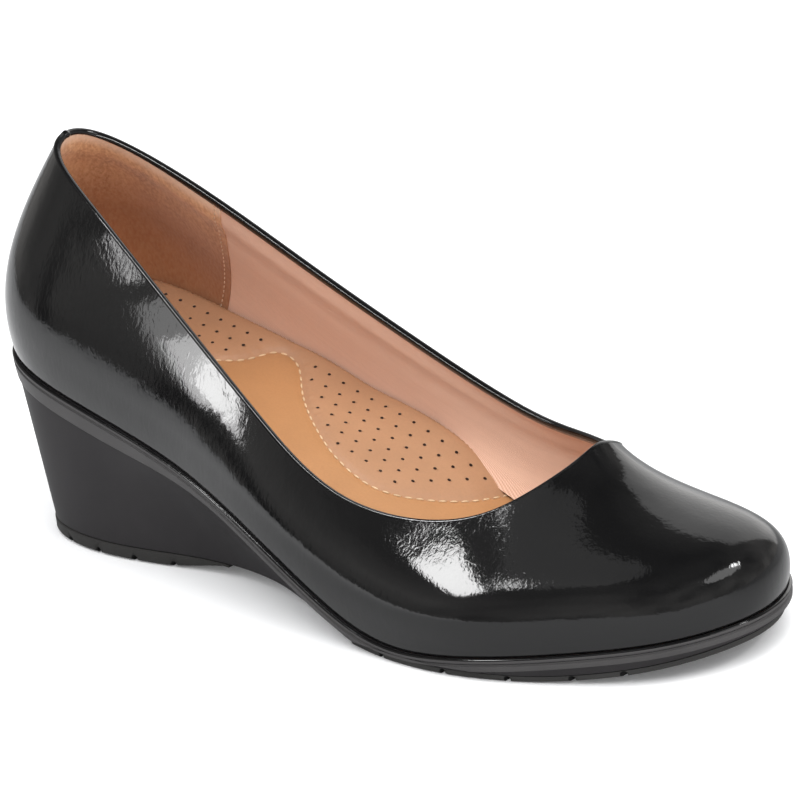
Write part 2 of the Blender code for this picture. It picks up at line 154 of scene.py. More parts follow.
# The linings and the two seams between them
TEXTILE_FACE = 1.45
SUEDE_FACE = 1.72
LINING_THICKNESS = 0.5
VAMP_LINING_SHARE = 0.5
LINING_ROWS = 36
HEEL_LINING_COLUMNS = 150
VAMP_LINING_COLUMNS = 260
LINING_OVERLAP = 3.0
LINING_UNDER_FOLD = 0.25
LINING_LOW_MARGIN = 2.6
LINING_SWELL = 0.45
LINING_SWELL_START = 3.0
LINING_RIDGE = (5.5, 2.6)
LINING_HOLLOW = (11.5, 3.0)
LINING_HOLLOW_SHARE = 0.55
ARCH_TUCK = 4.5
ARCH_TUCK_HEIGHT = 12.0
ARCH_TUCK_BACK_X = (106.0, 130.0)
ARCH_TUCK_FRONT_X = (150.0, 178.0)
ARCH_TUCK_SIDE_Y = (4.0, 14.0)
LINING_SEAM_LOW_X = 38.6
LINING_SEAM_LOW_Z = 48.2
LINING_SEAM_HIGH_X = 51.2
LINING_SEAM_HIGH_Z = 81.0
SEAM_SEARCH_PLACES = 720
SEAM_STITCH_SETBACK = 2.0
SEAM_STITCH_LIFT = 0.04
SEAM_STITCH_PITCH = 1.5
SEAM_STITCH_LENGTH = 1.0
SEAM_STITCH_WIDTH = 0.36

# The footbed's face, its stitched line, pads, gathers and pinholes
FOOTBED_LENGTH_STEPS = 360
FOOTBED_WIDTH_STEPS = 110
FOOTBED_EDGE_PLACES = 1440
FOOTBED_LINE_PLACES = 400
FOOTBED_END_MARGIN = 0.02
FOOTBED_END_CROWDING = 0.35
FOOTBED_SINK = 0.25
FOOTBED_EDGE_WIDTH = 1.2
FOOTBED_SIDE_BLEND = 12.0
FOOTBED_CUP_WIDTH = 9.0
FOOTBED_CUP_POWER = 1.5
FOOTBED_STITCH_PITCH = 3.0
FOOTBED_STITCH_LENGTH = 2.1
FOOTBED_STITCH_WIDTH = 0.55
FOOTBED_STITCH_LIFT = 0.16
STITCH_CHANNEL_DEPTH = 0.45
STITCH_CHANNEL_WIDTH = 0.9
PAD_RISE = 1.0
PAD_EDGE = 6.0
PUCKER_DEPTH = 0.13
PUCKER_OFFSET = 1.7
PUCKER_WIDTH = 1.3
PUCKER_UNEVEN = 0.3
PUCKER_DRIFT = 0.9
HOLE_ROWS = 14
HOLE_START_X = 9.0
HOLE_END_X = 134.0
HOLE_PITCH_ALONG = 4.6
HOLE_PITCH_ACROSS = 4.2
HOLE_EDGE = 4.4
HOLE_INSET = 2.4
HOLE_RADIUS = 0.45
HOLE_DEPTH = 1.3
HOLE_SIDES = 10

# The sole's surface, its shiny bead, and the treads
SOLE_COLUMNS = 360
SOLE_SCENE_ROWS = 26
BEAD_GLOSS_RINGS = (1, 4)
HEEL_TREAD_LIFT = 3.9
HEEL_TREAD_LIFT_X = (60.0, 94.0)
HEEL_TREAD_TOP_ROUND = 0.3
HEEL_TREAD_SIDE = 0.5
HEEL_TREAD_RINGS = 5
HEEL_TREAD_RING_GAP = 0.05
FORE_TREAD_RINGS = 3
FORE_GROOVE_LIFT = 0.45
GROOVE_ROD_REACH = 60.0
GROOVE_ROD_SIDES = 14

# One row per section round the shoe: heel, outer side, toe, inner side.
# lip = top edge of the sole seen from above, base = edge of its underside.
OUTLINE_COLUMNS = ("section", "lip_x", "lip_y", "base_x", "base_y")
OUTLINE = (
    ("heel back", 0.5, 0.0, 9.4, -0.5),
    ("outer heel corner", 10.4, -24.0, 16.4, -21.5),
    ("outer heel side", 38.0, -31.2, 42.0, -29.6),
    ("outer waist back", 76.0, -34.4, 77.0, -25.5),
    ("outer waist front", 113.0, -41.5, 111.5, -31.6),
    ("outer ball back", 149.0, -45.3, 149.0, -44.0),
    ("outer ball front", 182.0, -45.2, 181.5, -44.5),
    ("outer toe back", 214.5, -34.2, 213.5, -33.0),
    ("outer toe front", 236.0, -20.0, 234.0, -19.0),
    ("toe tip", 244.3, 1.5, 242.0, 1.5),
    ("inner toe front", 237.2, 20.8, 235.2, 19.9),
    ("inner toe back", 221.2, 34.8, 220.2, 33.9),
    ("inner ball front", 191.4, 40.3, 191.4, 39.2),
    ("inner ball back", 160.5, 34.8, 160.5, 34.0),
    ("inner waist front", 122.2, 33.2, 120.2, 28.3),
    ("inner waist back", 82.0, 31.4, 81.0, 24.7),
    ("inner heel side", 39.7, 29.8, 42.8, 26.5),
    ("inner heel corner", 10.2, 23.5, 17.5, 18.0),
)

# The collar line, and how the wall leaves the sole and reaches the collar in each section.
# Leans are degrees outward from upright, pulls are the lengths in mm that they hold for.
COLLAR_COLUMNS = ("section", "x", "y", "z", "foot_lean", "foot_pull", "collar_lean", "collar_pull")
COLLAR = (
    ("heel back", 15.0, 0.0, 103.2, 13.5, 21.5, 35.5, 21.5),
    ("outer heel corner", 21.5, -9.5, 99.5, 13.5, 21.0, 30.5, 21.5),
    ("outer heel side", 42.5, -17.6, 89.6, 11.0, 18.0, 21.0, 18.0),
    ("outer waist back", 76.4, -25.4, 69.8, 9.0, 12.0, 15.5, 12.0),
    ("outer waist front", 107.5, -32.0, 51.6, 10.0, 12.0, 21.0, 12.0),
    ("outer ball back", 138.8, -35.0, 36.6, 12.0, 14.0, 35.5, 14.0),
    ("outer ball front", 168.5, -29.8, 34.5, 12.0, 16.5, 41.0, 19.0),
    ("outer toe back", 186.6, -18.6, 41.1, 10.0, 18.5, 45.5, 26.0),
    ("outer toe front", 193.6, -6.5, 47.2, 9.0, 24.0, 42.0, 26.0),
    ("toe tip", 194.6, 2.5, 49.3, 12.0, 28.5, 38.5, 27.5),
    ("inner toe front", 190.5, 12.5, 44.8, 15.5, 26.0, 37.0, 25.5),
    ("inner toe back", 180.5, 22.0, 38.8, 13.0, 15.0, 36.0, 19.5),
    ("inner ball front", 163.0, 29.6, 35.8, 13.0, 15.5, 39.0, 16.0),
    ("inner ball back", 140.8, 32.7, 37.0, 12.0, 14.0, 35.5, 14.0),
    ("inner waist front", 108.3, 28.0, 52.2, 10.0, 12.0, 21.0, 12.0),
    ("inner waist back", 77.2, 21.7, 70.4, 9.0, 12.0, 15.5, 12.0),
    ("inner heel side", 40.4, 16.6, 89.6, 11.0, 18.0, 21.0, 18.0),
    ("inner heel corner", 18.0, 10.6, 99.8, 13.8, 21.5, 30.5, 21.5),
)

# Height of the sole's top face, and of its moulded underside, along the shoe
DECK_COLUMNS = ("x", "z")
DECK = (
    (0.0, 51.2),
    (30.0, 43.8),
    (60.0, 36.8),
    (90.0, 29.1),
    (120.0, 17.2),
    (150.0, 4.8),
    (180.0, 4.8),
    (210.0, 8.1),
    (246.0, 12.8),
)
UNDERSIDE_COLUMNS = ("x", "z")
UNDERSIDE = (
    (0.0, 4.0),
    (84.0, 4.0),
    (108.0, 5.0),
    (122.0, 4.3),
    (134.0, 3.0),
    (144.0, 1.8),
    (246.0, 1.8),
)

# How far the footbed's edge stands above its middle, on each side of the foot
FOOTBED_COLUMNS = ("x", "inner_rise", "outer_rise")
FOOTBED = (
    (0.0, 2.6, 2.6),
    (40.0, 3.0, 2.6),
    (62.0, 3.0, 2.0),
    (76.0, 2.5, 1.2),
    (88.0, 1.3, 0.6),
    (98.0, 1.9, 0.2),
    (110.0, 2.9, 0.0),
    (118.0, 2.9, 0.0),
    (130.0, 1.0, 0.0),
    (145.0, 0.0, 0.0),
    (246.0, 0.0, 0.0),
)


def column(table, names, wanted):
    """One named column of a table as an array."""
    at = names.index(wanted)
    return np.array([row[at] for row in table], float)


def columns(table, names, *wanted):
    return np.stack([column(table, names, name) for name in wanted], axis=1)


def closed_spline(knots, values, at):
    """A smooth closed curve through the rows, with its second derivative continuous."""
    knots = np.append(knots, knots[0] + 1.0)
    values = np.vstack([values, values[:1]])
    count = len(knots) - 1
    gap = np.diff(knots)
    slope = np.diff(values, axis=0) / gap[:, None]
    matrix = np.zeros((count, count))
    right = np.zeros((count, values.shape[1]))
    for i in range(count):
        before = (i - 1) % count
        after = (i + 1) % count
        matrix[i, before] += gap[before]
        matrix[i, i] += 2.0 * (gap[before] + gap[i])
        matrix[i, after] += gap[i]
        right[i] = 6.0 * (slope[i] - slope[before])
    bend = np.linalg.solve(matrix, right)
    bend = np.vstack([bend, bend[:1]])
    place = (np.asarray(at, float) - knots[0]) % 1.0 + knots[0]
    i = np.clip(np.searchsorted(knots, place, side="right") - 1, 0, count - 1)
    h = gap[i][:, None]
    a = (knots[i + 1] - place)[:, None]
    b = (place - knots[i])[:, None]
    ends = (values[i] / h - bend[i] * h / 6.0) * a + (values[i + 1] / h - bend[i + 1] * h / 6.0) * b
    return bend[i] * a**3 / (6.0 * h) + bend[i + 1] * b**3 / (6.0 * h) + ends


def open_spline(knots, values, at):
    """A smooth curve through the rows with straight ends."""
    count = len(knots)
    gap = np.diff(knots)
    slope = np.diff(values) / gap
    matrix = np.eye(count)
    right = np.zeros(count)
    for i in range(1, count - 1):
        matrix[i, i - 1] = gap[i - 1]
        matrix[i, i] = 2.0 * (gap[i - 1] + gap[i])
        matrix[i, i + 1] = gap[i]
        right[i] = 6.0 * (slope[i] - slope[i - 1])
    bend = np.linalg.solve(matrix, right)
    place = np.clip(np.asarray(at, float), knots[0], knots[-1])
    i = np.clip(np.searchsorted(knots, place, side="right") - 1, 0, count - 2)
    h = gap[i]
    a = knots[i + 1] - place
    b = place - knots[i]
    ends = (values[i] / h - bend[i] * h / 6.0) * a + (values[i + 1] / h - bend[i + 1] * h / 6.0) * b
    return bend[i] * a**3 / (6.0 * h) + bend[i + 1] * b**3 / (6.0 * h) + ends


def smooth(value, low, high):
    t = np.clip((np.asarray(value, float) - low) / (high - low), 0.0, 1.0)
    return t * t * (3.0 - 2.0 * t)


def hump(value, middle, width):
    """1 at the middle, falling away smoothly on both sides."""
    return np.exp(-(((value - middle) / width) ** 2))


def unit(vectors):
    return vectors / np.linalg.norm(vectors, axis=-1, keepdims=True)


def running_length(points, axis=0):
    """Length along rows of points, 0 at the start of each row."""
    steps = np.linalg.norm(np.diff(points, axis=axis), axis=-1)
    start = np.zeros_like(steps.take([0], axis=axis))
    return np.concatenate([start, np.cumsum(steps, axis=axis)], axis=axis)


def nearest(plan, points):
    """Distance from each plan point to the closest of some others."""
    near = np.full(len(plan), 1e9)
    for point in points:
        near = np.minimum(near, np.hypot(plan[:, 0] - point[0], plan[:, 1] - point[1]))
    return near


def deck(x):
    """Height of the sole's top face."""
    return open_spline(column(DECK, DECK_COLUMNS, "x"), column(DECK, DECK_COLUMNS, "z"), x)


def toe_spring(x):
    lift = np.clip((np.asarray(x, float) - TOE_SPRING_START_X) / TOE_SPRING_LENGTH, 0.0, None)
    return TOE_SPRING_HEIGHT * lift**TOE_SPRING_POWER


def underside(x):
    """Height of the moulded sole's underside, above the treads."""
    x_rows = column(UNDERSIDE, UNDERSIDE_COLUMNS, "x")
    z_rows = column(UNDERSIDE, UNDERSIDE_COLUMNS, "z")
    spread = np.linspace(-UNDERSIDE_BLEND, UNDERSIDE_BLEND, UNDERSIDE_BLEND_STEPS)
    near = (x[:, None] + spread[None, :]).clip(x_rows[0], x_rows[-1])
    return np.interp(near, x_rows, z_rows).mean(axis=1) + toe_spring(x)


def band_height(x):
    """Height of the rim band under the upper: tall at the heel, low from the waist on."""
    taper = smooth(x, BAND_TAPER_START_X, BAND_TAPER_END_X)
    return BAND_HEEL_HEIGHT + (BAND_FORE_HEIGHT - BAND_HEEL_HEIGHT) * taper


LIP_ROWS = columns(OUTLINE, OUTLINE_COLUMNS, "lip_x", "lip_y")
STEPS = np.linalg.norm(np.diff(np.vstack([LIP_ROWS, LIP_ROWS[:1]]), axis=0), axis=1)
LIP_LENGTH = STEPS.sum()
KNOTS = np.concatenate([[0.0], np.cumsum(STEPS)])[:-1] / LIP_LENGTH


def lip(at):
    return closed_spline(KNOTS, LIP_ROWS, at)


def base(at):
    return closed_spline(KNOTS, columns(OUTLINE, OUTLINE_COLUMNS, "base_x", "base_y"), at)


def outward(curve, at):
    """Unit plan normals of a closed curve, pointing away from the foot."""
    step = 1e-3
    run = unit(curve(at + step) - curve(at - step))
    return np.stack([run[:, 1], -run[:, 0]], axis=1)


def lip_outward(at):
    """Level unit vectors round the lip, pointing away from the foot."""
    return np.column_stack([outward(lip, at), np.zeros(len(at))])


def from_back_seam(at):
    """Distance round the lip from the centre back seam, in mm."""
    return np.minimum(at, 1.0 - at) * LIP_LENGTH


def plan_fill(loop):
    """Triangles inside a closed plan outline."""
    count = len(loop)
    edges = [(i, (i + 1) % count) for i in range(count)]
    found = delaunay_2d_cdt([Vector(p) for p in loop], edges, [], 1, 1e-7)
    back = {new: old[0] for new, old in enumerate(found[3])}
    return [[back[v] for v in face] for face in found[2]]


def cut_outline(loop, limit, keep_below):
    """A closed outline cut straight across at one place along the shoe."""
    away = limit - loop[:, 0] if keep_below else loop[:, 0] - limit
    inside = away > CUT_MARGIN
    count = len(loop)
    kept = []
    for i in range(count):
        j = (i + 1) % count
        if inside[i]:
            kept.append(loop[i])
        if inside[i] != inside[j]:
            t = (limit - loop[i, 0]) / (loop[j, 0] - loop[i, 0])
            kept.append(loop[i] + t * (loop[j] - loop[i]))
    return np.array(kept)


def shrunk(loop, distance):
    """A closed outline moved inwards by about the given distance."""
    ahead = unit(np.roll(loop, -1, axis=0) - loop)
    behind = unit(loop - np.roll(loop, 1, axis=0))
    run = unit(ahead + behind)
    inward = np.stack([-run[:, 1], run[:, 0]], axis=1)
    return loop + distance * inward


# The stitched line round the smooth middle of the footbed, from the outer side to the inner one
FOOTBED_LINE_COLUMNS = ("place", "x", "y")
FOOTBED_LINE = (
    ("outer edge", 36.5, -26.0),
    ("heel pad outer", 38.5, -16.0),
    ("heel pad middle", 43.0, -2.0),
    ("heel pad inner", 50.0, 9.5),
    ("heel pad shoulder", 56.0, 15.5),
    ("inner corner", 61.0, 23.0),
    ("arch pad back", 66.0, 23.2),
    ("arch pad rise", 74.5, 16.8),
    ("arch pad side", 89.5, 5.6),
    ("arch pad low", 104.0, -0.6),
    ("arch pad bend", 115.5, -0.4),
    ("arch pad front", 125.3, 8.6),
    ("arch pad tip", 130.8, 17.8),
    ("inner edge", 134.4, 28.6),
)


def bezier_wall(at):
    """The four control points of the upper's outline in each section."""
    collar = closed_spline(KNOTS, columns(COLLAR, COLLAR_COLUMNS, "x", "y", "z"), at)
    shape = closed_spline(
        KNOTS,
        columns(COLLAR, COLLAR_COLUMNS, "foot_lean", "foot_pull", "collar_lean", "collar_pull"),
        at,
    )
    side = lip_outward(at)
    foot_plan = lip(at) - FEATHER_INSET * side[:, :2]
    foot = np.column_stack([foot_plan, deck(foot_plan[:, 0]) + GAP])
    up = np.array([0.0, 0.0, 1.0])
    foot_lean = np.radians(shape[:, :1])
    collar_lean = np.radians(shape[:, 2:3])
    low = foot + shape[:, 1:2] * (np.cos(foot_lean) * up + np.sin(foot_lean) * side)
    high = collar + shape[:, 3:4] * (np.sin(collar_lean) * side - np.cos(collar_lean) * up)
    return foot, low, high, collar


def wall(at, rows, foot_margin=0.0, collar_margin=0.0):
    """Points of the upper's outer face as places by rows, evenly spaced between two margins."""
    foot, low, high, collar = (p[:, None] for p in bezier_wall(at))

    def curve(t):
        t = t[..., None]
        near = (1 - t) ** 3 * foot + 3 * t * (1 - t) ** 2 * low
        return near + 3 * t**2 * (1 - t) * high + t**3 * collar

    fine = np.linspace(0.0, 1.0, WALL_SAMPLES)
    run = running_length(curve(np.tile(fine, (len(at), 1))), axis=1)
    share = np.zeros((len(at), rows + 1))
    below = np.zeros((len(at), rows + 1))
    margins = np.broadcast_to(collar_margin, len(at))
    for i in range(len(at)):
        wanted = np.linspace(foot_margin, run[i, -1] - margins[i], rows + 1)
        share[i] = np.interp(wanted, run[i], fine)
        below[i] = run[i, -1] - wanted
    outer_side = smooth(at, *ROLL_STARTS) * (1.0 - smooth(at, *ROLL_ENDS))
    roll = TOPLINE_ROLL * np.clip(1.0 - below / TOPLINE_ROLL_WIDTH, 0.0, 1.0) ** 2 * outer_side[:, None]
    return curve(share) - roll[..., None] * lip_outward(at)[:, None]


def fold_depth(at):
    """How far down inside the patent is turned: barely at the heel, and more further forward."""
    return FOLD_HEEL_DEPTH + (FOLD_DEPTH - FOLD_HEEL_DEPTH) * smooth(lip(at)[:, 0], *FOLD_DEEPENS_X)


def grid_normals(grid, closed):
    """Outward unit normals of a grid of places by rows."""
    if closed:
        along = np.roll(grid, -1, axis=0) - np.roll(grid, 1, axis=0)
    else:
        along = np.gradient(grid, axis=0)
    return unit(np.cross(along, np.gradient(grid, axis=1)))


def stations(count):
    """Places round the shoe, closer together at the centre back seam."""
    near = np.array(BACK_SEAM_SPREAD) / LIP_LENGTH
    even = np.arange(count) / count
    even = even[(even > near[-1]) & (even < 1.0 - near[-1])]
    return np.unique(np.concatenate([near, even, (1.0 - near[1:])]))


def to_scene(points):
    """Points of the tables, in mm, as metres in the shoe's frame."""
    return (np.asarray(points) - SHIFT) * MM


def linked(name, data):
    """An object in the scene for a mesh, a lamp or a camera."""
    obj = bpy.data.objects.new(name, data)
    bpy.context.scene.collection.objects.link(obj)
    return obj


def as_modified(obj):
    """A new mesh of an object, with its modifiers worked in."""
    bpy.context.view_layer.update()
    graph = bpy.context.evaluated_depsgraph_get()
    return bpy.data.meshes.new_from_object(obj.evaluated_get(graph))


def piece(name, verts, faces, materials, body="root", crisp=CRISP_ANGLE):
    """A mesh piece in the shoe's frame, facing out, smooth but for its crisp edges."""
    mesh = bpy.data.meshes.new(name)
    mesh.from_pydata(to_scene(verts).tolist(), [], [tuple(f) for f in faces])
    work = bmesh.new()
    work.from_mesh(mesh)
    bmesh.ops.recalc_face_normals(work, faces=work.faces)
    for edge in work.edges:
        if len(edge.link_faces) == 2 and edge.calc_face_angle(0.0) > np.radians(crisp):
            edge.smooth = False
    for face in work.faces:
        face.smooth = True
    work.to_mesh(mesh)
    work.free()
    for material in materials:
        mesh.materials.append(material)
    obj = linked(name, mesh)
    if body:
        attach(obj, body)
    return obj


def shell(name, face, back, closed, material, crisp=CRISP_ANGLE):
    """A thin closed piece between two grids of places by rows."""
    places, rows = face.shape[:2]
    verts = np.concatenate([face.reshape(-1, 3), back.reshape(-1, 3)])
    half = places * rows
    faces = []
    last = places if closed else places - 1
    for i in range(last):
        j = (i + 1) % places
        for k in range(rows - 1):
            a, b = i * rows + k, j * rows + k
            faces.append((a, b, b + 1, a + 1))
            faces.append((half + a, half + a + 1, half + b + 1, half + b))
        for k in (0, rows - 1):
            a, b = i * rows + k, j * rows + k
            faces.append((a, half + a, half + b, b))
    if not closed:
        for i in (0, places - 1):
            for k in range(rows - 1):
                a = i * rows + k
                faces.append((a, a + 1, half + a + 1, half + a))
    return piece(name, verts, faces, [material], crisp=crisp)


def weave_map(obj, face_run, face_rise):
    """A UV map in metres along the lining and down from its top edge, for its weave and nap."""
    layer = obj.data.uv_layers.new(name="weave")
    run = np.concatenate([face_run.reshape(-1), face_run.reshape(-1)])
    rise = np.concatenate([face_rise.reshape(-1), face_rise.reshape(-1)])
    for loop in obj.data.loops:
        v = loop.vertex_index
        layer.data[loop.index].uv = (run[v] * MM, rise[v] * MM)


def build_skin(material):
    """The patent skin of the upper, curled in over the sole and pinched along its back seam."""
    at = stations(SKIN_COLUMNS)
    grid = wall(at, SKIN_ROWS, 0.0, FOLD_WIDTH)
    tuck = np.clip(1.0 - running_length(grid, axis=1) / FEATHER_CURL_HEIGHT, 0.0, 1.0) ** 2
    grid = grid - FEATHER_CURL * tuck[:, :, None] * lip_outward(at)[:, None, :]
    normals = grid_normals(grid, True)
    pinch = BACK_SEAM_DEPTH * hump(from_back_seam(at), 0.0, BACK_SEAM_WIDTH)
    grid = grid - pinch[:, None, None] * normals
    obj = shell("patent_skin", grid, grid - SKIN_THICKNESS * normals, True, material)
    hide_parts("upper")


def build_topline(material):
    """The turned patent edge round the collar."""
    at = stations(BINDING_COLUMNS)
    ends = wall(at, BINDING_ROWS)
    top = ends[:, -1]
    rise = unit(ends[:, -1] - ends[:, -3])
    out = unit(np.cross(np.roll(top, -1, axis=0) - np.roll(top, 1, axis=0), rise))
    outer = EDGE_PROUD_SHARE * BINDING_OUTSIDE
    inner = -WALL - BINDING_INSIDE
    middle = 0.5 * (outer + inner)
    half = 0.5 * (outer - inner)
    section = [(outer - tuck, height) for tuck, height in EDGE_OUTSIDE]
    for step in range(BINDING_TURN_STEPS + 1):
        turn = np.pi * step / BINDING_TURN_STEPS
        section.append((middle + half * np.cos(turn), (np.sin(turn) - 1.0) * BINDING_TOP_RADIUS))
    section += [(inner + tuck, height) for tuck, height in EDGE_INSIDE]
    depth = np.maximum(fold_depth(at), EDGE_LEAST_DEPTH)
    knot = SEAM_KNOT_HEIGHT * hump(from_back_seam(at), 0.0, SEAM_KNOT_WIDTH)
    verts = []
    for i in range(len(at)):
        for across, height in section:
            swell = knot[i] if height > -FOLD_WIDTH else SEAM_KNOT_LOW_SHARE * knot[i]
            if across < middle and height < -BINDING_TOP_RADIUS:
                height += BINDING_HEIGHT - depth[i]
            spread = across * (1.0 + SEAM_KNOT_SPREAD * knot[i])
            verts.append(top[i] + spread * out[i] + (height + swell) * rise[i])
    size = len(section)
    faces = []
    for i in range(len(at)):
        j = (i + 1) % len(at)
        for k in range(size):
            m = (k + 1) % size
            faces.append((i * size + k, j * size + k, j * size + m, i * size + m))
    obj = piece("topline_edge", np.array(verts), faces, [material])
    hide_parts("topline_binding")


def seam_place(row_points, at, inner_side):
    """The place round the shoe where the lining seam crosses one row of the wall."""
    lean = (LINING_SEAM_HIGH_X - LINING_SEAM_LOW_X) / (LINING_SEAM_HIGH_Z - LINING_SEAM_LOW_Z)
    past = row_points[:, 0] - LINING_SEAM_LOW_X - lean * (row_points[:, 2] - LINING_SEAM_LOW_Z)
    side = (at > 0.6) if inner_side else (at < 0.4)
    order = np.argsort(past[side])
    return float(np.interp(0.0, past[side][order], at[side][order]))


def lining_grid(first, last, count, depth, rows):
    """A stretch of the wall between two seams, set in by a depth, with its weave lengths."""
    share = np.linspace(0.0, 1.0, count)
    grid = np.zeros((count, rows + 1, 3))
    for k in range(rows + 1):
        at = first[k] + (last[k] - first[k]) * share
        grid[:, k] = wall(at, rows, LINING_LOW_MARGIN, fold_depth(at) - LINING_UNDER_FOLD)[:, k]
    normals = grid_normals(grid, False)
    low = grid[:, :1]
    climb = np.linalg.norm(grid - low, axis=2)
    down = climb[:, -1:] - climb
    swell = hump(down, *LINING_RIDGE) - LINING_HOLLOW_SHARE * hump(down, *LINING_HOLLOW)
    swell *= LINING_SWELL * smooth(down, 0.0, LINING_SWELL_START)
    side = smooth(grid[..., 0], *ARCH_TUCK_BACK_X) * (1.0 - smooth(grid[..., 0], *ARCH_TUCK_FRONT_X))
    side *= smooth(grid[..., 1], *ARCH_TUCK_SIDE_Y)
    tuck = ARCH_TUCK * side * np.clip(1.0 - climb / ARCH_TUCK_HEIGHT, 0.0, 1.0) ** 2
    face = grid - (depth + swell + tuck)[..., None] * normals
    back = face + LINING_THICKNESS * normals
    return face, back, running_length(grid, axis=0), running_length(grid, axis=1), normals


def build_linings(suede, textile, thread):
    """The suede heel lining, the textile vamp lining and the two stitched seams between them."""
    dense = np.arange(SEAM_SEARCH_PLACES) / SEAM_SEARCH_PLACES
    rows = LINING_ROWS
    bare = wall(dense, rows, LINING_LOW_MARGIN, fold_depth(dense) - LINING_UNDER_FOLD)
    outer = np.array([seam_place(bare[:, k], dense, False) for k in range(rows + 1)])
    inner = np.array([seam_place(bare[:, k], dense, True) for k in range(rows + 1)]) - 1.0
    one_mm = 1.0 / LIP_LENGTH
    face, back, run, rise, _ = lining_grid(inner, outer, HEEL_LINING_COLUMNS, SUEDE_FACE, rows)
    heel = shell("heel_lining", face, back, False, suede)
    weave_map(heel, run, rise[:, -1:] - rise)
    lap = LINING_OVERLAP * one_mm
    face, back, run, rise, _ = lining_grid(
        outer - lap, inner + 1.0 + lap, VAMP_LINING_COLUMNS, TEXTILE_FACE, rows
    )
    vamp = shell("vamp_lining", face, face + VAMP_LINING_SHARE * (back - face), False, textile)
    weave_map(vamp, run, rise[:, -1:] - rise)
    setback = SEAM_STITCH_SETBACK * one_mm
    grid, _, _, _, out = lining_grid(
        inner + setback, outer - setback, HEEL_LINING_COLUMNS, SUEDE_FACE + SEAM_STITCH_LIFT, rows
    )
    sides = [(grid[0], -out[0]), (grid[-1], -out[-1])]
    sizes = (SEAM_STITCH_PITCH, SEAM_STITCH_LENGTH, SEAM_STITCH_WIDTH)
    stitched("lining_seam_stitches", sides, *sizes, thread)


def footbed_edges():
    """The footbed's outline in plan, as x and y, split at its heel and toe ends."""
    at = np.arange(FOOTBED_EDGE_PLACES) / FOOTBED_EDGE_PLACES
    out = outward(lip, at)
    edge = lip(at) - (FEATHER_INSET + WALL + INSOLE_CLEARANCE) * out
    heel = int(np.argmin(edge[:, 0]))
    toe = int(np.argmax(edge[:, 0]))
    loop = np.roll(edge, -heel, axis=0)
    toe = (toe - heel) % len(at)
    return loop[: toe + 1], np.vstack([loop[toe:], loop[:1]])[::-1]


def line_points():
    """The stitched line of the footbed as closely spaced plan points."""
    rows = columns(FOOTBED_LINE, FOOTBED_LINE_COLUMNS, "x", "y")
    run = running_length(rows)
    at = np.linspace(0.0, run[-1], FOOTBED_LINE_PLACES)
    return np.column_stack([open_spline(run, rows[:, 0], at), open_spline(run, rows[:, 1], at)])


def puckers(plan, near, line):
    """Small gathers of the pad's leather between the stitches."""
    best = np.full(len(plan), 1e9)
    place = np.zeros(len(plan))
    for point, far in zip(line, running_length(line)):
        away = np.hypot(plan[:, 0] - point[0], plan[:, 1] - point[1])
        place = np.where(away < best, far, place)
        best = np.minimum(best, away)
    uneven = 1.0 - PUCKER_UNEVEN + PUCKER_UNEVEN * np.sin(place * PUCKER_DRIFT)
    wave = np.cos(2.0 * np.pi * place / FOOTBED_STITCH_PITCH) * uneven
    return PUCKER_DEPTH * wave * hump(near, PUCKER_OFFSET, PUCKER_WIDTH)


def pad_share(plan, line):
    """How much of its pad's rise each plan point has, its distance to the line, and if a pad has it."""
    near = nearest(plan, line[::2])
    x, y = next(row[1:] for row in FOOTBED_LINE if row[0] == "inner corner")
    corner = int(np.argmin(np.hypot(line[:, 0] - x, line[:, 1] - y)))
    back = line[: corner + 1]
    front = line[corner:]
    behind = plan[:, 0] < np.interp(plan[:, 1], back[:, 1], back[:, 0])
    beside = plan[:, 1] > np.interp(plan[:, 0], front[:, 0], front[:, 1])
    beside &= (plan[:, 0] > front[0, 0]) & (plan[:, 0] < front[-1, 0])
    inside = behind | beside
    return np.where(inside, 1.0 - (1.0 - np.clip(near / PAD_EDGE, 0.0, 1.0)) ** 2, 0.0), near, inside


def footbed_height(plan, edge_distance, line):
    """Height of the footbed's face: heel cup, arch, pads and the channel of the stitched line."""
    x = plan[:, 0]
    rows = column(FOOTBED, FOOTBED_COLUMNS, "x")
    inner = open_spline(rows, column(FOOTBED, FOOTBED_COLUMNS, "inner_rise"), x)
    outer = open_spline(rows, column(FOOTBED, FOOTBED_COLUMNS, "outer_rise"), x)
    side = smooth(plan[:, 1], -FOOTBED_SIDE_BLEND, FOOTBED_SIDE_BLEND)
    edge_rise = outer + (inner - outer) * side
    fall = np.exp(-((edge_distance / FOOTBED_CUP_WIDTH) ** FOOTBED_CUP_POWER))
    share, near, inside = pad_share(plan, line)
    channel = STITCH_CHANNEL_DEPTH * hump(near, 0.0, STITCH_CHANNEL_WIDTH)
    gathers = puckers(plan, near, line) * inside
    rounding = INSOLE_EDGE_ROUND * np.clip(1.0 - edge_distance / FOOTBED_EDGE_WIDTH, 0.0, 1.0) ** 2
    face = deck(x) + INSOLE_THICKNESS - FOOTBED_SINK
    return face + edge_rise * fall + PAD_RISE * share - channel - rounding + gathers


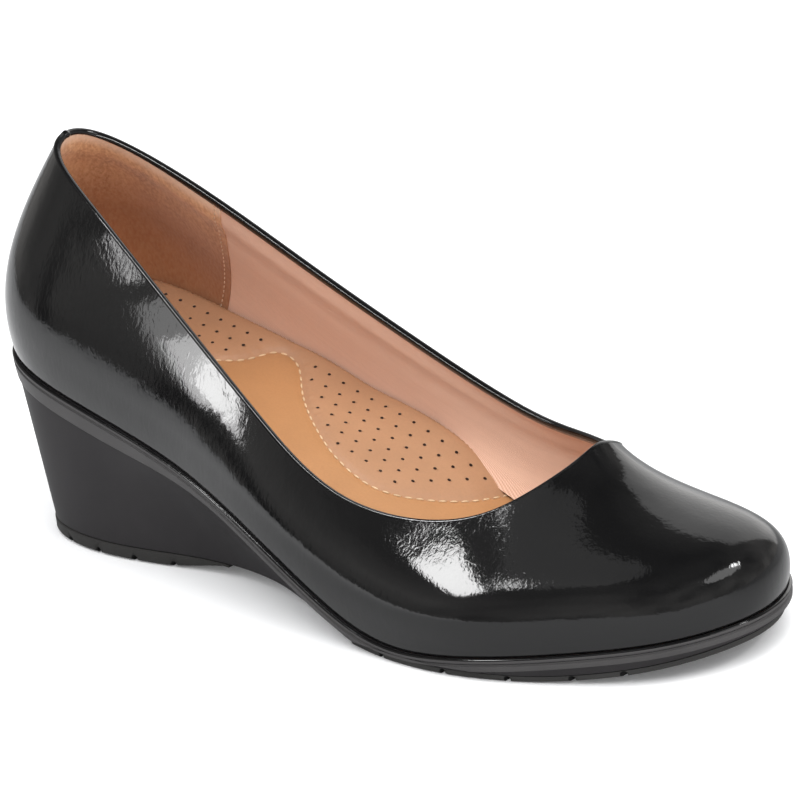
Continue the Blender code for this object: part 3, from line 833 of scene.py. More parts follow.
def footbed_grid():
    """Plan points of the footbed from edge to edge, closer together at its two ends."""
    outer, inner = footbed_edges()
    first = outer[0, 0]
    last = outer[-1, 0]
    turn = np.linspace(0.0, np.pi, FOOTBED_LENGTH_STEPS)
    even = np.linspace(0.0, 1.0, FOOTBED_LENGTH_STEPS)
    crowded = FOOTBED_END_CROWDING * 0.5 * (1.0 - np.cos(turn))
    share = crowded + (1.0 - FOOTBED_END_CROWDING) * even
    x = first + FOOTBED_END_MARGIN + (last - first - 2.0 * FOOTBED_END_MARGIN) * share
    low = np.interp(x, outer[:, 0], outer[:, 1])
    high = np.interp(x, inner[:, 0], inner[:, 1])
    across = np.linspace(0.0, 1.0, FOOTBED_WIDTH_STEPS)
    y = low[:, None] + (high - low)[:, None] * across[None, :]
    return np.stack([np.repeat(x[:, None], FOOTBED_WIDTH_STEPS, axis=1), y], axis=2)


def build_footbed(leather, pad_leather, shade, thread):
    """The leather footbed with its two perforated pads and its stitched line."""
    line = line_points()
    border = np.vstack(footbed_edges())[::4]

    def on_face(points, lift=0.0):
        """Plan points laid on the footbed's face."""
        height = footbed_height(points, nearest(points, border), line) + lift
        return np.column_stack([points, height])

    plan = footbed_grid()
    flat = plan.reshape(-1, 2)
    face = on_face(flat).reshape(*plan.shape[:2], 3)
    low = np.column_stack([flat, deck(flat[:, 0]) + GAP]).reshape(face.shape)
    obj = shell("footbed", face, low, False, leather, crisp=FOOTBED_CRISP_ANGLE)
    obj.data.materials.append(pad_leather)
    centres = np.array([polygon.center for polygon in obj.data.polygons]) / MM + SHIFT
    _, _, padded = pad_share(centres[:, :2], line)
    for polygon, pad in zip(obj.data.polygons, padded):
        polygon.material_index = int(pad)
    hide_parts("insole")
    pierce(obj, on_face(hole_places(line)), shade)
    seam = on_face(line, FOOTBED_STITCH_LIFT)[3:-3]
    upright = np.tile([0.0, 0.0, 1.0], (len(seam), 1))
    sizes = (FOOTBED_STITCH_PITCH, FOOTBED_STITCH_LENGTH, FOOTBED_STITCH_WIDTH)
    stitched("footbed_stitches", [(seam, upright)], *sizes, thread)


def hole_places(line):
    """Plan points of the perforations, in staggered rows that follow the inner edge."""
    outer, inner = footbed_edges()
    found = []
    for row in range(HOLE_ROWS):
        start = HOLE_START_X + (0.5 * HOLE_PITCH_ALONG if row % 2 else 0.0)
        for x in np.arange(start, HOLE_END_X, HOLE_PITCH_ALONG):
            y = np.interp(x, inner[:, 0], inner[:, 1]) - HOLE_EDGE - row * HOLE_PITCH_ACROSS
            if y > np.interp(x, outer[:, 0], outer[:, 1]) + HOLE_EDGE:
                found.append((x, y))
    found = np.array(found)
    _, near, inside = pad_share(found, line)
    return found[inside & (near > HOLE_INSET)]


class Nodes:
    """A node tree that takes its nodes with their settings and named sockets."""

    def __init__(self, tree):
        self.tree = tree

    def plug(self, socket, value):
        """Sets a socket to a value, or links it."""
        if isinstance(value, Value):
            self.tree.links.new(value.socket, socket)
        elif isinstance(value, bpy.types.NodeSocket):
            self.tree.links.new(value, socket)
        else:
            socket.default_value = value

    def node(self, kind, settings=None, **inputs):
        """A node: its settings first, then its sockets' values or links."""
        node = self.tree.nodes.new(kind)
        for key, value in (settings or {}).items():
            setattr(node, key, value)
        for key, value in inputs.items():
            name = key.replace("_", " ")
            socket = next(s for s in node.inputs if s.name == name and s.enabled)
            self.plug(socket, value)
        return node

    def parts(self, vector):
        """The three numbers of a vector."""
        node = self.node("ShaderNodeSeparateXYZ", Vector=vector)
        return [Value(self, node.outputs[axis]) for axis in "XYZ"]

    def noise(self, place, scale, detail=2.0, rough=0.5, twist=0.0):
        node = self.node(
            "ShaderNodeTexNoise", Vector=place, Scale=scale, Detail=detail, Roughness=rough, Distortion=twist
        )
        return Value(self, node.outputs["Fac"])


class Value:
    """A number that changes over a surface, with Python's operators as shader maths."""

    def __init__(self, nodes, socket):
        self.nodes = nodes
        self.socket = socket

    def maths(self, operation, first, second=None):
        inputs = [first] if second is None else [first, second]
        node = self.nodes.node("ShaderNodeMath", {"operation": operation})
        for socket, value in zip(node.inputs, inputs):
            self.nodes.plug(socket, value)
        return Value(self.nodes, node.outputs[0])

    def __add__(self, other):
        return self.maths("ADD", self, other)

    __radd__ = __add__

    def __mul__(self, other):
        return self.maths("MULTIPLY", self, other)

    __rmul__ = __mul__

    def __sub__(self, other):
        return self.maths("SUBTRACT", self, other)

    def __rsub__(self, other):
        return self.maths("SUBTRACT", other, self)

    def __truediv__(self, other):
        return self.maths("DIVIDE", self, other)

    def __pow__(self, other):
        return self.maths("POWER", self, other)

    def sine(self):
        return self.maths("SINE", self)

    def at_least(self, low):
        return self.maths("MAXIMUM", self, low)

    def held(self, low, high):
        """The value clamped between two limits."""
        return self.maths("MINIMUM", self.at_least(low), high)

    def over(self, low, high):
        """0 below the first limit and 1 above the second."""
        return ((self - low) * (1.0 / (high - low))).held(0.0, 1.0)


class Recipe(Nodes):
    """A Geometry Nodes tree with named sizes, baked into a plain mesh at the end."""

    def __init__(self, name):
        super().__init__(bpy.data.node_groups.new(name, "GeometryNodeTree"))
        self.tree.interface.new_socket("Geometry", in_out="INPUT", socket_type="NodeSocketGeometry")
        self.tree.interface.new_socket("Geometry", in_out="OUTPUT", socket_type="NodeSocketGeometry")
        self.start = self.tree.nodes.new("NodeGroupInput")
        self.end = self.tree.nodes.new("NodeGroupOutput")
        self.sizes = {}

    def size(self, name, value):
        """A named input of the tree, in metres."""
        socket = self.tree.interface.new_socket(name, in_out="INPUT", socket_type="NodeSocketFloat")
        self.sizes[socket.identifier] = value
        return self.start.outputs[name]

    def baked(self, name, mesh, geometry, material):
        """The tree's result on a mesh, as a plain mesh object."""
        realised = self.node("GeometryNodeRealizeInstances", Geometry=geometry)
        painted = self.node(
            "GeometryNodeSetMaterial", Geometry=realised.outputs["Geometry"], Material=material
        )
        self.tree.links.new(painted.outputs["Geometry"], self.end.inputs[0])
        guide = linked(name + "_guide", mesh)
        modifier = guide.modifiers.new("recipe", "NODES")
        modifier.node_group = self.tree
        for identifier, value in self.sizes.items():
            modifier[identifier] = value
        made = as_modified(guide)
        bpy.data.objects.remove(guide)
        made.name = name
        for polygon in made.polygons:
            polygon.use_smooth = True
        if not made.materials:
            made.materials.append(material)
        return linked(name, made)


def guide_mesh(name, paths):
    """Paths, or loose points, as a mesh whose points carry the normal of what they lie on."""
    verts = []
    edges = []
    normals = []
    for points, facing in paths:
        first = len(verts)
        verts += to_scene(points).tolist()
        normals += np.asarray(facing).tolist()
        edges += [(first + i, first + i + 1) for i in range(len(points) - 1)]
    mesh = bpy.data.meshes.new(name)
    mesh.from_pydata(verts, edges, [])
    layer = mesh.attributes.new("facing", "FLOAT_VECTOR", "POINT")
    for item, normal in zip(layer.data, normals):
        item.vector = normal
    return mesh


def stitched(name, paths, pitch, length, width, material):
    """Rounded stitches laid at an even pitch along paths."""
    recipe = Recipe(name + "_recipe")
    pitch = recipe.size("Pitch", pitch * MM)
    length = recipe.size("Stitch length", length * MM)
    width = recipe.size("Thread width", width * MM)
    line = recipe.node("GeometryNodeMeshToCurve", Mesh=recipe.start.outputs["Geometry"])
    even = recipe.node(
        "GeometryNodeResampleCurve", {"mode": "LENGTH"}, Curve=line.outputs["Curve"], Length=pitch
    )
    stitch = recipe.node("GeometryNodeMeshUVSphere", Segments=8, Rings=6, Radius=0.5)
    shape = recipe.node("ShaderNodeCombineXYZ", X=length, Y=width, Z=width)
    along = recipe.node("GeometryNodeInputTangent")
    facing = recipe.node("GeometryNodeInputNamedAttribute", {"data_type": "FLOAT_VECTOR"}, Name="facing")
    turned = recipe.node(
        "FunctionNodeAxesToRotation",
        {"primary_axis": "X", "secondary_axis": "Z"},
        Primary_Axis=along.outputs[0],
        Secondary_Axis=facing.outputs[0],
    )
    placed = recipe.node(
        "GeometryNodeInstanceOnPoints",
        Points=even.outputs["Curve"],
        Instance=stitch.outputs["Mesh"],
        Rotation=turned.outputs[0],
        Scale=shape.outputs[0],
    )
    obj = recipe.baked(name, guide_mesh(name + "_path", paths), placed.outputs["Instances"], material)
    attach(obj, "root")


def pierce(obj, points, shade):
    """Cuts a round hole into a piece at each point."""
    recipe = Recipe("perforation_recipe")
    radius = recipe.size("Hole radius", HOLE_RADIUS * MM)
    depth = recipe.size("Hole length", 2.0 * HOLE_DEPTH * MM)
    punch = recipe.node(
        "GeometryNodeMeshCylinder", {"fill_type": "NGON"}, Vertices=HOLE_SIDES, Radius=radius, Depth=depth
    )
    placed = recipe.node(
        "GeometryNodeInstanceOnPoints",
        Points=recipe.start.outputs["Geometry"],
        Instance=punch.outputs["Mesh"],
    )
    spots = [(points[i : i + 1], [(0.0, 0.0, 1.0)]) for i in range(len(points))]
    cutter = recipe.baked("punch", guide_mesh("perforations", spots), placed.outputs["Instances"], shade)
    cut(obj, cutter)


def cut(obj, cutter):
    """Takes a cutter's shape out of a piece, and removes the cutter."""
    modifier = obj.modifiers.new("cut", "BOOLEAN")
    modifier.operation = "DIFFERENCE"
    modifier.solver = "EXACT"
    modifier.material_mode = "TRANSFER"
    modifier.object = cutter
    made = as_modified(obj)
    obj.modifiers.clear()
    obj.data = made
    bpy.data.objects.remove(cutter)


def loops_piece(name, loops, heights, materials, rim=()):
    """A closed piece from plan loops with heights; the rings in rim take the second material."""
    count = len(loops[0])
    verts = np.vstack([np.column_stack([loop, height]) for loop, height in zip(loops, heights)])
    faces = []
    for ring in range(len(loops) - 1):
        for i in range(count):
            j = (i + 1) % count
            lower = ring * count
            upper = lower + count
            faces.append((lower + i, lower + j, upper + j, upper + i))
    faces += [tuple(f) for f in plan_fill(loops[0])]
    last = (len(loops) - 1) * count
    faces += [tuple(v + last for v in f) for f in plan_fill(loops[-1])]
    obj = piece(name, verts, faces, materials, crisp=SOLE_CRISP_ANGLE)
    for ring in rim:
        for face in range(ring * count, (ring + 1) * count):
            obj.data.polygons[face].material_index = 1
    return obj


def build_wedge_unit(moulded, rim_finish, bead_finish):
    """The moulded wedge: rounded bead, groove, rim band, step and tapering wall."""
    at = np.arange(SOLE_COLUMNS) / SOLE_COLUMNS
    rim = lip(at)
    out = outward(lip, at)
    x = rim[:, 0]
    top = deck(x)
    bottom_edge = base(at)
    low = underside(bottom_edge[:, 0])
    tuck = BAND_HEEL_TUCK * (1.0 - smooth(x, 0.0, BAND_TUCK_END_X))
    band_low = np.maximum(top - band_height(x), underside(x) + BAND_CLEARANCE)
    loops = []
    heights = []

    def add(loop, height):
        loops.append(loop)
        heights.append(height)

    half = 0.5 * BEAD_HEIGHT
    inner = rim - BEAD_LEDGE_WIDTH * out
    add(inner, deck(inner[:, 0]) - BEAD_LEDGE_DROP)
    for step in range(BEAD_STEPS):
        turn = np.pi * (0.5 - step / (BEAD_STEPS - 1.0))
        set_in = half * (1.0 - np.cos(turn))
        add(rim - set_in * out, top - half + half * np.sin(turn))
    for share in (0.2, 0.8):
        add(rim - BEAD_GROOVE_DEPTH * out, top - BEAD_HEIGHT - share * BEAD_GROOVE_HEIGHT)
    band_top = top - BEAD_HEIGHT - BEAD_GROOVE_HEIGHT
    for inset, drop in BAND_TOP_ROUND:
        add(rim - inset * out, band_top - drop)
    band_face = rim - BAND_FACE_INSET * out
    face_top = band_top - BAND_FACE_DROP
    band_foot = rim - (BAND_LEAN + tuck[:, None]) * out
    for share in BAND_FACE_SHARES:
        add(band_face + share * (band_foot - band_face), face_top + share * (band_low - face_top))
    add(band_foot, band_low + BAND_FOOT_ROUND)
    add(band_foot - BAND_STEP_DROP * out, band_low)
    band_rings = range(1, len(loops) - 1)
    step_in = BAND_STEP_DEEPER * BAND_STEP * smooth(band_low - low, *BAND_STEP_FADE)
    wall_top = band_foot - step_in[:, None] * out
    wall_start = band_low - BAND_STEP_DROP
    add(wall_top, wall_start)
    hollow = WAIST_HOLLOW * smooth(x, *WAIST_BACK_X) * (1.0 - smooth(x, *WAIST_FRONT_X))
    for row in range(1, SOLE_SCENE_ROWS + 1):
        t = row / SOLE_SCENE_ROWS
        sag = 4.0 * t * (1.0 - t) * hollow
        loop = wall_top + t * (bottom_edge - wall_top) - sag[:, None] * out
        add(loop, wall_start + t * (low - wall_start))
    finishes = [moulded, rim_finish, bead_finish]
    obj = loops_piece("wedge_unit", loops, heights, finishes, rim=band_rings)
    first, last = BEAD_GLOSS_RINGS
    for polygon in obj.data.polygons[first * SOLE_COLUMNS : last * SOLE_COLUMNS]:
        polygon.material_index = finishes.index(bead_finish)
    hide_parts("wedge_sole")


def groove_cutters(name, centres, radius, heights, material):
    """Long rods across the shoe, one for each groove."""
    turns = 2.0 * np.pi * np.arange(GROOVE_ROD_SIDES) / GROOVE_ROD_SIDES
    sides = range(GROOVE_ROD_SIDES)
    verts = []
    faces = []
    for x, height in zip(centres, heights):
        first = len(verts)
        second = first + GROOVE_ROD_SIDES
        for end in (-GROOVE_ROD_REACH, GROOVE_ROD_REACH):
            verts += [(x + radius * np.cos(turn), end, height + radius * np.sin(turn)) for turn in turns]
        for k in sides:
            m = (k + 1) % GROOVE_ROD_SIDES
            faces.append((first + k, first + m, second + m, second + k))
        faces += [[first + k for k in sides], [second + k for k in sides]]
    return piece(name, verts, faces, [material], body=None)


def build_heel_tread(material, dark):
    """The heel tread, flat on the floor and lifting a little towards the waist."""
    at = np.arange(SOLE_COLUMNS) / SOLE_COLUMNS
    loop = base(at) + HEEL_TREAD_PROUD * outward(base, at)
    edge = cut_outline(loop, HEEL_TREAD_FRONT_X, True)
    lift = HEEL_TREAD_LIFT * smooth(edge[:, 0], *HEEL_TREAD_LIFT_X)
    top = np.full(len(edge), HEEL_TREAD_TOP)
    loops = [shrunk(edge, HEEL_TREAD_TOP_ROUND), edge]
    heights = [top, top - HEEL_TREAD_TOP_ROUND]
    for step in range(1, HEEL_TREAD_RINGS + 1):
        turn = 0.5 * np.pi * step / HEEL_TREAD_RINGS
        set_in = HEEL_TREAD_ROUND * (1.0 - np.cos(turn))
        drop = HEEL_TREAD_ROUND * (1.0 - np.sin(turn))
        loops.append(shrunk(edge, set_in))
        highest = HEEL_TREAD_TOP - HEEL_TREAD_SIDE - HEEL_TREAD_RING_GAP * step
        heights.append(np.minimum(lift + drop, highest))
    obj = loops_piece("heel_tread", loops, heights, [material])
    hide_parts("heel_outsole")
    heights = np.full(len(HEEL_GROOVES_X), HEEL_GROOVE_CENTRE_Z)
    cut(obj, groove_cutters("heel_groove_rods", HEEL_GROOVES_X, HEEL_GROOVE_RADIUS, heights, dark))


def build_fore_tread(material, dark):
    """The forefoot tread, thin, flat under the ball and turned up at the toe."""
    at = np.arange(SOLE_COLUMNS) / SOLE_COLUMNS
    loop = base(at) - TREAD_INSET * outward(base, at)
    edge = cut_outline(loop, FORE_TREAD_BACK_X, False)
    top = underside(edge[:, 0]) - GAP
    floor = toe_spring(edge[:, 0])
    loops = [edge, edge]
    heights = [top, floor + FORE_TREAD_ROUND]
    for step in range(1, FORE_TREAD_RINGS + 1):
        turn = 0.5 * np.pi * step / FORE_TREAD_RINGS
        loops.append(shrunk(edge, FORE_TREAD_ROUND * (1.0 - np.cos(turn))))
        heights.append(toe_spring(loops[-1][:, 0]) + FORE_TREAD_ROUND * (1.0 - np.sin(turn)))
    obj = loops_piece("forefoot_tread", loops, heights, [material])
    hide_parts("forefoot_outsole")
    heights = FORE_GROOVE_CENTRE_Z + FORE_GROOVE_LIFT + toe_spring(FORE_GROOVES_X)
    cut(obj, groove_cutters("forefoot_groove_rods", FORE_GROOVES_X, FORE_GROOVE_RADIUS, heights, dark))


class Finish(Nodes):
    """A material on its Principled shader."""

    def __init__(self, name, **sockets):
        self.material = bpy.data.materials.new(name)
        self.material.use_nodes = True
        super().__init__(self.material.node_tree)
        self.shader = self.tree.nodes["Principled BSDF"]
        for key, value in sockets.items():
            self.plug(self.shader.inputs[key.replace("_", " ")], value)

    def colour(self, value):
        self.plug(self.shader.inputs["Base Color"], value)

    def place(self, stretch=(1.0, 1.0, 1.0), turn=(0.0, 0.0, 0.0)):
        """Object coordinates, stretched and turned for a pattern."""
        source = self.node("ShaderNodeTexCoord").outputs["Object"]
        node = self.node("ShaderNodeMapping", Vector=source, Scale=stretch, Rotation=turn)
        return node.outputs["Vector"]

    def lining_place(self):
        """The lining's own map, with the metres along it and down from its top edge."""
        source = self.node("ShaderNodeUVMap", {"uv_map": "weave"}).outputs["UV"]
        run, down, _ = self.parts(source)
        return source, run, down

    def blend(self, factor, first, second):
        """A colour between two colours."""
        node = self.node("ShaderNodeMix", {"data_type": "RGBA"})
        colours = [s for s in node.inputs if s.type == "RGBA"]
        self.plug(node.inputs[0], factor)
        for socket, colour in zip(colours, (first, second)):
            self.plug(socket, (*colour, 1.0) if isinstance(colour, tuple) else colour)
        return next(s for s in node.outputs if s.type == "RGBA")

    def relief(self, height, depth):
        """Bump of a height pattern whose full swing is a depth in millimetres."""
        node = self.node("ShaderNodeBump", Strength=1.0, Distance=depth * MM)
        self.plug(node.inputs["Height"], height)
        self.plug(self.shader.inputs["Normal"], node.outputs["Normal"])


def toned(colour, share):
    """A colour made lighter or darker by one share."""
    return tuple(share * c for c in colour)


def patent_finish(name):
    """Black patent: a clear gloss over a finely crinkled skin."""
    finish = Finish(
        name,
        Base_Color=(0.004, 0.004, 0.0042, 1.0),
        Roughness=0.085,
        Specular_IOR_Level=0.5,
    )
    crinkle = finish.noise(finish.place((1.0, 1.0, 0.4)), 900.0, 2.0, 0.5, 0.6)
    swell = finish.noise(finish.place(), 130.0, 1.0, 0.5, 0.3)
    finish.relief(crinkle * 0.46 + swell * 1.1, 0.085)
    return finish.material


def suede_finish(name):
    """Tan suede with a mottled nap, paler at its top edge, and darker low down from painted shade deep
    inside the heel.
    """
    finish = Finish(name, Roughness=0.92, Sheen_Weight=0.25, Sheen_Roughness=0.5)
    _, _, down = finish.lining_place()
    cloud = finish.noise(finish.place(), 90.0, 3.0, 0.6)
    nap = finish.noise(finish.place((1.0, 1.0, 0.6)), 1150.0, 2.0, 0.6)
    mottled = finish.blend(cloud.over(0.38, 0.64), (0.42, 0.185, 0.075), (0.60, 0.285, 0.12))
    napped = finish.blend(nap.over(0.34, 0.66) * 0.6, mottled, (0.82, 0.48, 0.25))
    # painted shade: the suede darkens further down, deep inside the heel cup
    low = finish.blend(down.over(0.006, 0.026) * 0.78, napped, (0.275, 0.094, 0.028))
    finish.colour(finish.blend((1.0 - down.over(0.0012, 0.0040)) * 0.75, low, (0.80, 0.57, 0.41)))
    finish.relief(nap, 0.12)
    return finish.material


def textile_finish(name):
    """Pink-beige lining cloth in a fine diagonal twill with long faint slubs."""
    finish = Finish(name, Roughness=0.85, Sheen_Weight=0.2)
    source, run, down = finish.lining_place()
    drift = finish.noise(finish.place(), 220.0, 2.0) * 1.6
    twill = (run * 3900.0 + down * 7600.0 + drift).sine() * 0.5 + 0.5
    yarn = (run * 9000.0 - down * 5100.0 + drift).sine() * 0.5 + 0.5
    weave = twill * 0.7 + yarn * 0.3
    slub_place = finish.node("ShaderNodeMapping", Vector=source, Scale=(45.0, 900.0, 1.0)).outputs["Vector"]
    slub = finish.noise(slub_place, 1.0, 2.0)
    low = finish.blend(slub.over(0.3, 0.7), (0.63, 0.36, 0.245), (0.69, 0.405, 0.28))
    finish.colour(finish.blend(weave.over(0.2, 0.9), low, (0.86, 0.575, 0.43)))
    finish.relief(weave * 0.9 + slub * 0.25, 0.07)
    return finish.material


def footbed_finish(name, colour, roughness):
    """Tan leather with a fine grain and slight clouding."""
    finish = Finish(name, Roughness=roughness, Coat_Weight=0.06, Coat_Roughness=0.4)
    cloud = finish.noise(finish.place(), 45.0, 3.0, 0.55)
    grain = finish.noise(finish.place(), 1500.0, 3.0, 0.6)
    clouded = finish.blend(cloud.over(0.3, 0.7), colour, toned(colour, 1.12))
    finish.colour(finish.blend(grain.over(0.4, 0.8) * 0.3, clouded, toned(colour, 0.8)))
    finish.relief(grain, 0.045)
    return finish.material


def plain_finish(name, colour, roughness):
    finish = Finish(name, Roughness=roughness)
    cloud = finish.noise(finish.place(), 300.0, 2.0)
    finish.colour(finish.blend(cloud.over(0.3, 0.7), toned(colour, 0.8), colour))
    return finish.material


def rubber_finish(name, colour, roughness, grain_depth):
    """Moulded black sole rubber with a fine, even grain."""
    finish = Finish(name, Roughness=roughness, Specular_IOR_Level=0.1)
    cloud = finish.noise(finish.place(), 70.0, 3.0)
    grain = finish.noise(finish.place(), 1800.0, 2.0)
    finish.colour(finish.blend(cloud.over(0.35, 0.7), colour, toned(colour, 1.15)))
    finish.relief(grain, grain_depth)
    return finish.material


# The camera's place round the shoe and the picture's scale, from the photo's outline
CAMERA_AZIMUTH = 45.75
CAMERA_ELEVATION = 21.0
CAMERA_ROLL = -6.67
CAMERA_DISTANCE = 2500.0
CAMERA_AIM_X = 120.0
CAMERA_AIM_Z = 40.0
PICTURE_SIDE = 800.0
PICTURE_SCALE = 3.92
PICTURE_AIM_X = 382.7
PICTURE_AIM_Y = 426.1

# A dark upright gap in the surroundings, in degrees, which leans over as it rises
GAP_AZIMUTH = -137.5
GAP_LEAN = 31.0
GAP_HALF_WIDTH = 3.0

# Panels close to the skin that only the gloss sees. Each has the place it faces, its azimuth and
# elevation from there, its distance in mm, its width and height in mm, its twist and its brightness.
NEAR_PANELS = (
    ("strip_top_panel", (53.0, -20.0, 81.0), (-132.0, 16.0), 45.0, (1.8, 18.0), 54.0, 8.0),
    ("strip_glow_panel", (84.0, -28.5, 63.5), (-132.0, 13.5), 70.0, (25.0, 27.0), 30.0, 2.6),
    ("strip_panel", (87.0, -30.0, 59.0), (-132.0, 13.5), 50.0, (20.0, 16.5), 30.0, 6.0),
    ("strip_core_panel", (93.5, -31.5, 53.5), (-132.0, 15.0), 58.0, (8.0, 19.0), 84.0, 9.0),
    ("topline_panel", (62.0, -20.0, 77.5), (-40.0, 60.5), 60.0, (140.0, 10.0), -61.5, 22.0),
    ("patch_panel", (178.5, -41.0, 24.5), (-143.5, 49.0), 45.0, (21.5, 13.5), 0.0, 18.0),
)

# Panels that hang away from the shoe, and fills that the gloss doesn't see. Each has its azimuth and
# elevation, its distance, width and height in metres, and its brightness.
FAR_PANELS = (
    ("patch_tail_panel", "RECTANGLE", (-131.5, 53.5), (3.0, 0.3, 0.14), 12.0),
    ("ceiling_glow_panel", "ELLIPSE", (-128.0, 68.0), (3.0, 1.7, 1.5), 0.32),
    ("toe_panel", "ELLIPSE", (33.0, 42.0), (3.0, 0.38, 0.38), 24.0),
    ("toe_glow_panel", "ELLIPSE", (12.0, 39.0), (3.1, 2.1, 0.9), 1.9),
    ("backdrop_panel", "RECTANGLE", (114.0, 21.0), (4.0, 2.9, 5.2), 0.85),
)
FILLS = (
    ("lining_fill", (-62.0, 52.0), (1.6, 1.1, 1.1), 2.7),
    ("heel_fill", (0.0, 62.0), (1.6, 0.8, 0.8), 4.1),
)
FLOOR_HALF_SIDE = 4.0
FLOOR_DROP = 0.0002


def set_camera():
    """A long lens at the photo's angle, rolled as in the photo."""
    a, e, roll = (np.radians(v) for v in (CAMERA_AZIMUTH, CAMERA_ELEVATION, CAMERA_ROLL))
    back = Vector((np.sin(a) * np.cos(e), -np.cos(a) * np.cos(e), np.sin(e)))
    level = Vector((np.cos(a), np.sin(a), 0.0))
    up = level.cross(-back)
    right = np.cos(roll) * level + np.sin(roll) * up
    top = -np.sin(roll) * level + np.cos(roll) * up
    turn = Matrix((right, top, back)).transposed().to_4x4()
    aim = Vector((CAMERA_AIM_X - FRAME_X, -FRAME_Y, CAMERA_AIM_Z)) * MM
    turn.translation = aim + back * CAMERA_DISTANCE * MM
    data = bpy.data.cameras.new("camera")
    camera = linked("camera", data)
    camera.matrix_world = turn
    data.sensor_width = 36.0
    data.lens = PICTURE_SCALE * CAMERA_DISTANCE / PICTURE_SIDE * data.sensor_width
    data.shift_x = (0.5 * PICTURE_SIDE - PICTURE_AIM_X) / PICTURE_SIDE
    data.shift_y = (PICTURE_AIM_Y - 0.5 * PICTURE_SIDE) / PICTURE_SIDE
    data.clip_end = 20.0
    bpy.context.scene.camera = camera


def softbox(name, way, size, brightness, aim=(0.0, 0.0, 0.04), twist=0.0, shape="RECTANGLE"):
    """A lit panel that faces a point from its azimuth and elevation, sized by distance, width, height."""
    away, width, height = size
    data = bpy.data.lights.new(name, "AREA")
    data.shape = shape
    data.size = width
    data.size_y = height
    data.energy = brightness * np.pi * width * height
    light = linked(name, data)
    a, e = np.radians(way)
    back = Vector((np.cos(a) * np.cos(e), np.sin(a) * np.cos(e), np.sin(e)))
    light.rotation_mode = "QUATERNION"
    light.rotation_quaternion = back.to_track_quat("Z", "Y")
    light.rotation_quaternion @= Matrix.Rotation(np.radians(twist), 3, "Z").to_quaternion()
    light.location = Vector(aim) + back * away
    return light


def hang_panels():
    """The near panels for the gloss alone, the far ones, and the fills for all but the gloss."""
    for name, place, way, away, (width, height), twist, brightness in NEAR_PANELS:
        size = (away * MM, width * MM, height * MM)
        light = softbox(name, way, size, brightness, aim=to_scene(place), twist=twist)
        light.visible_diffuse = False
    for name, shape, way, size, brightness in FAR_PANELS:
        softbox(name, way, size, brightness, shape=shape)
    for name, way, size, brightness in FILLS:
        light = softbox(name, way, size, brightness)
        light.visible_glossy = False


def studio_surroundings(world):
    """White to the camera, bright to plain surfaces, and dim with one dark gap to glossy ones."""
    world.use_nodes = True
    world.node_tree.nodes.clear()
    studio = Nodes(world.node_tree)
    around = studio.node("ShaderNodeTexCoord").outputs["Generated"]
    x, y, z = studio.parts(around)
    turn = y.maths("ARCTAN2", y, x) + (z - 0.3).at_least(0.0) * np.radians(GAP_LEAN)
    off = (turn - np.radians(GAP_AZIMUTH)) / np.radians(GAP_HALF_WIDTH)
    gap = off.maths("EXPONENT", off * off * -1.0) * (1.0 - z).at_least(0.0)
    rise = z.at_least(0.0) ** 1.5 * 0.42
    cloud = studio.noise(around, 2.6, 1.5)
    patchy = (cloud * 3.2 - 0.8).at_least(0.12) * 0.75 + 0.25
    glow = (0.5 - rise) * (1.0 - gap) * patchy
    lit = studio.node("ShaderNodeBackground", Color=(0.97, 0.98, 1.0, 1.0), Strength=1.0)
    dim = studio.node("ShaderNodeBackground", Color=(1.0, 0.97, 0.94, 1.0), Strength=glow)
    glossy = studio.node("ShaderNodeLightPath").outputs["Is Glossy Ray"]
    pick = studio.node("ShaderNodeMixShader")
    for socket, value in zip(pick.inputs, (glossy, lit.outputs[0], dim.outputs[0])):
        studio.plug(socket, value)
    studio.node("ShaderNodeOutputWorld", Surface=pick.outputs[0])
    world.cycles.sampling_method = "NONE"


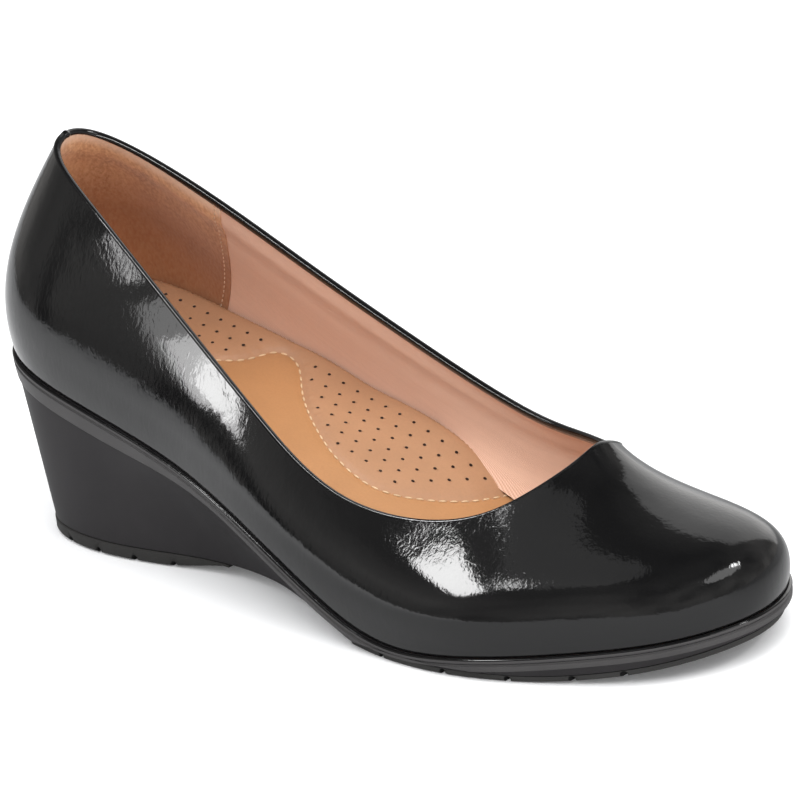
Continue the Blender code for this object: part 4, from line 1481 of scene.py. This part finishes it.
def floor_finish():
    """White to the camera. In the gloss it is grey, a painted reflection that is brighter towards the heel
    and the outer side.
    """
    finish = Finish("pale_floor", Roughness=0.9, Specular_IOR_Level=0.0, Emission_Strength=0.1)
    along, across, _ = finish.parts(finish.place())
    # painted reflection: the grey that the gloss sees, lighter towards the heel and darker towards the inner
    # side
    shone = 0.55 + 0.4 * (along * -1.0).over(0.02, 0.25) - 0.32 * across.over(0.0, 0.15)
    seen = Value(finish, finish.node("ShaderNodeLightPath").outputs["Is Glossy Ray"])
    white = shone * seen + 0.93 * (1.0 - seen)
    for socket, value in (("Base Color", white), ("Emission Color", 1.0 - seen)):
        grey = finish.node("ShaderNodeCombineXYZ", X=value, Y=value, Z=value)
        finish.plug(finish.shader.inputs[socket], grey.outputs["Vector"])
    return finish.material


def set_stage():
    """A pale floor and a studio of soft panels in dim surroundings."""
    mesh = bpy.data.meshes.new("floor")
    side = FLOOR_HALF_SIDE
    corners = [(x * side, y * side, 0.0) for x, y in ((-1, -1), (1, -1), (1, 1), (-1, 1))]
    mesh.from_pydata(corners, [], [range(len(corners))])
    mesh.materials.append(floor_finish())
    floor = linked("floor", mesh)
    floor.location.z = -FLOOR_DROP
    world = bpy.data.worlds.new("studio")
    bpy.context.scene.world = world
    studio_surroundings(world)
    hang_panels()
    bpy.context.scene.view_settings.view_transform = "Standard"


def main():
    patent = patent_finish("black_patent")
    edge = patent_finish("black_patent_edge")
    suede = suede_finish("tan_suede")
    textile = textile_finish("twill_lining")
    leather = footbed_finish("footbed_leather", (0.42, 0.208, 0.086), 0.5)
    pads = footbed_finish("pad_leather", (0.40, 0.213, 0.112), 0.55)
    shade = plain_finish("hole_shade", (0.03, 0.012, 0.006), 0.9)
    cream = plain_finish("cream_thread", (0.74, 0.54, 0.33), 0.7)
    beige = plain_finish("seam_thread", (0.72, 0.50, 0.34), 0.7)
    moulded = rubber_finish("moulded_rubber", (0.022, 0.0205, 0.0215), 0.5, 0.012)
    rim = rubber_finish("rim_rubber", (0.053, 0.051, 0.051), 0.4, 0.008)
    groove = plain_finish("groove_shade", (0.004, 0.004, 0.004), 0.9)
    heel = rubber_finish("heel_tread_rubber", (0.030, 0.029, 0.028), 0.55, 0.03)
    fore = rubber_finish("forefoot_tread_rubber", (0.034, 0.033, 0.032), 0.55, 0.03)
    build_skin(patent)
    build_topline(edge)
    build_linings(suede, textile, beige)
    build_footbed(leather, pads, shade, cream)
    build_wedge_unit(moulded, rim, edge)
    build_heel_tread(heel, groove)
    build_fore_tread(fore, groove)
    set_camera()
    set_stage()


main()
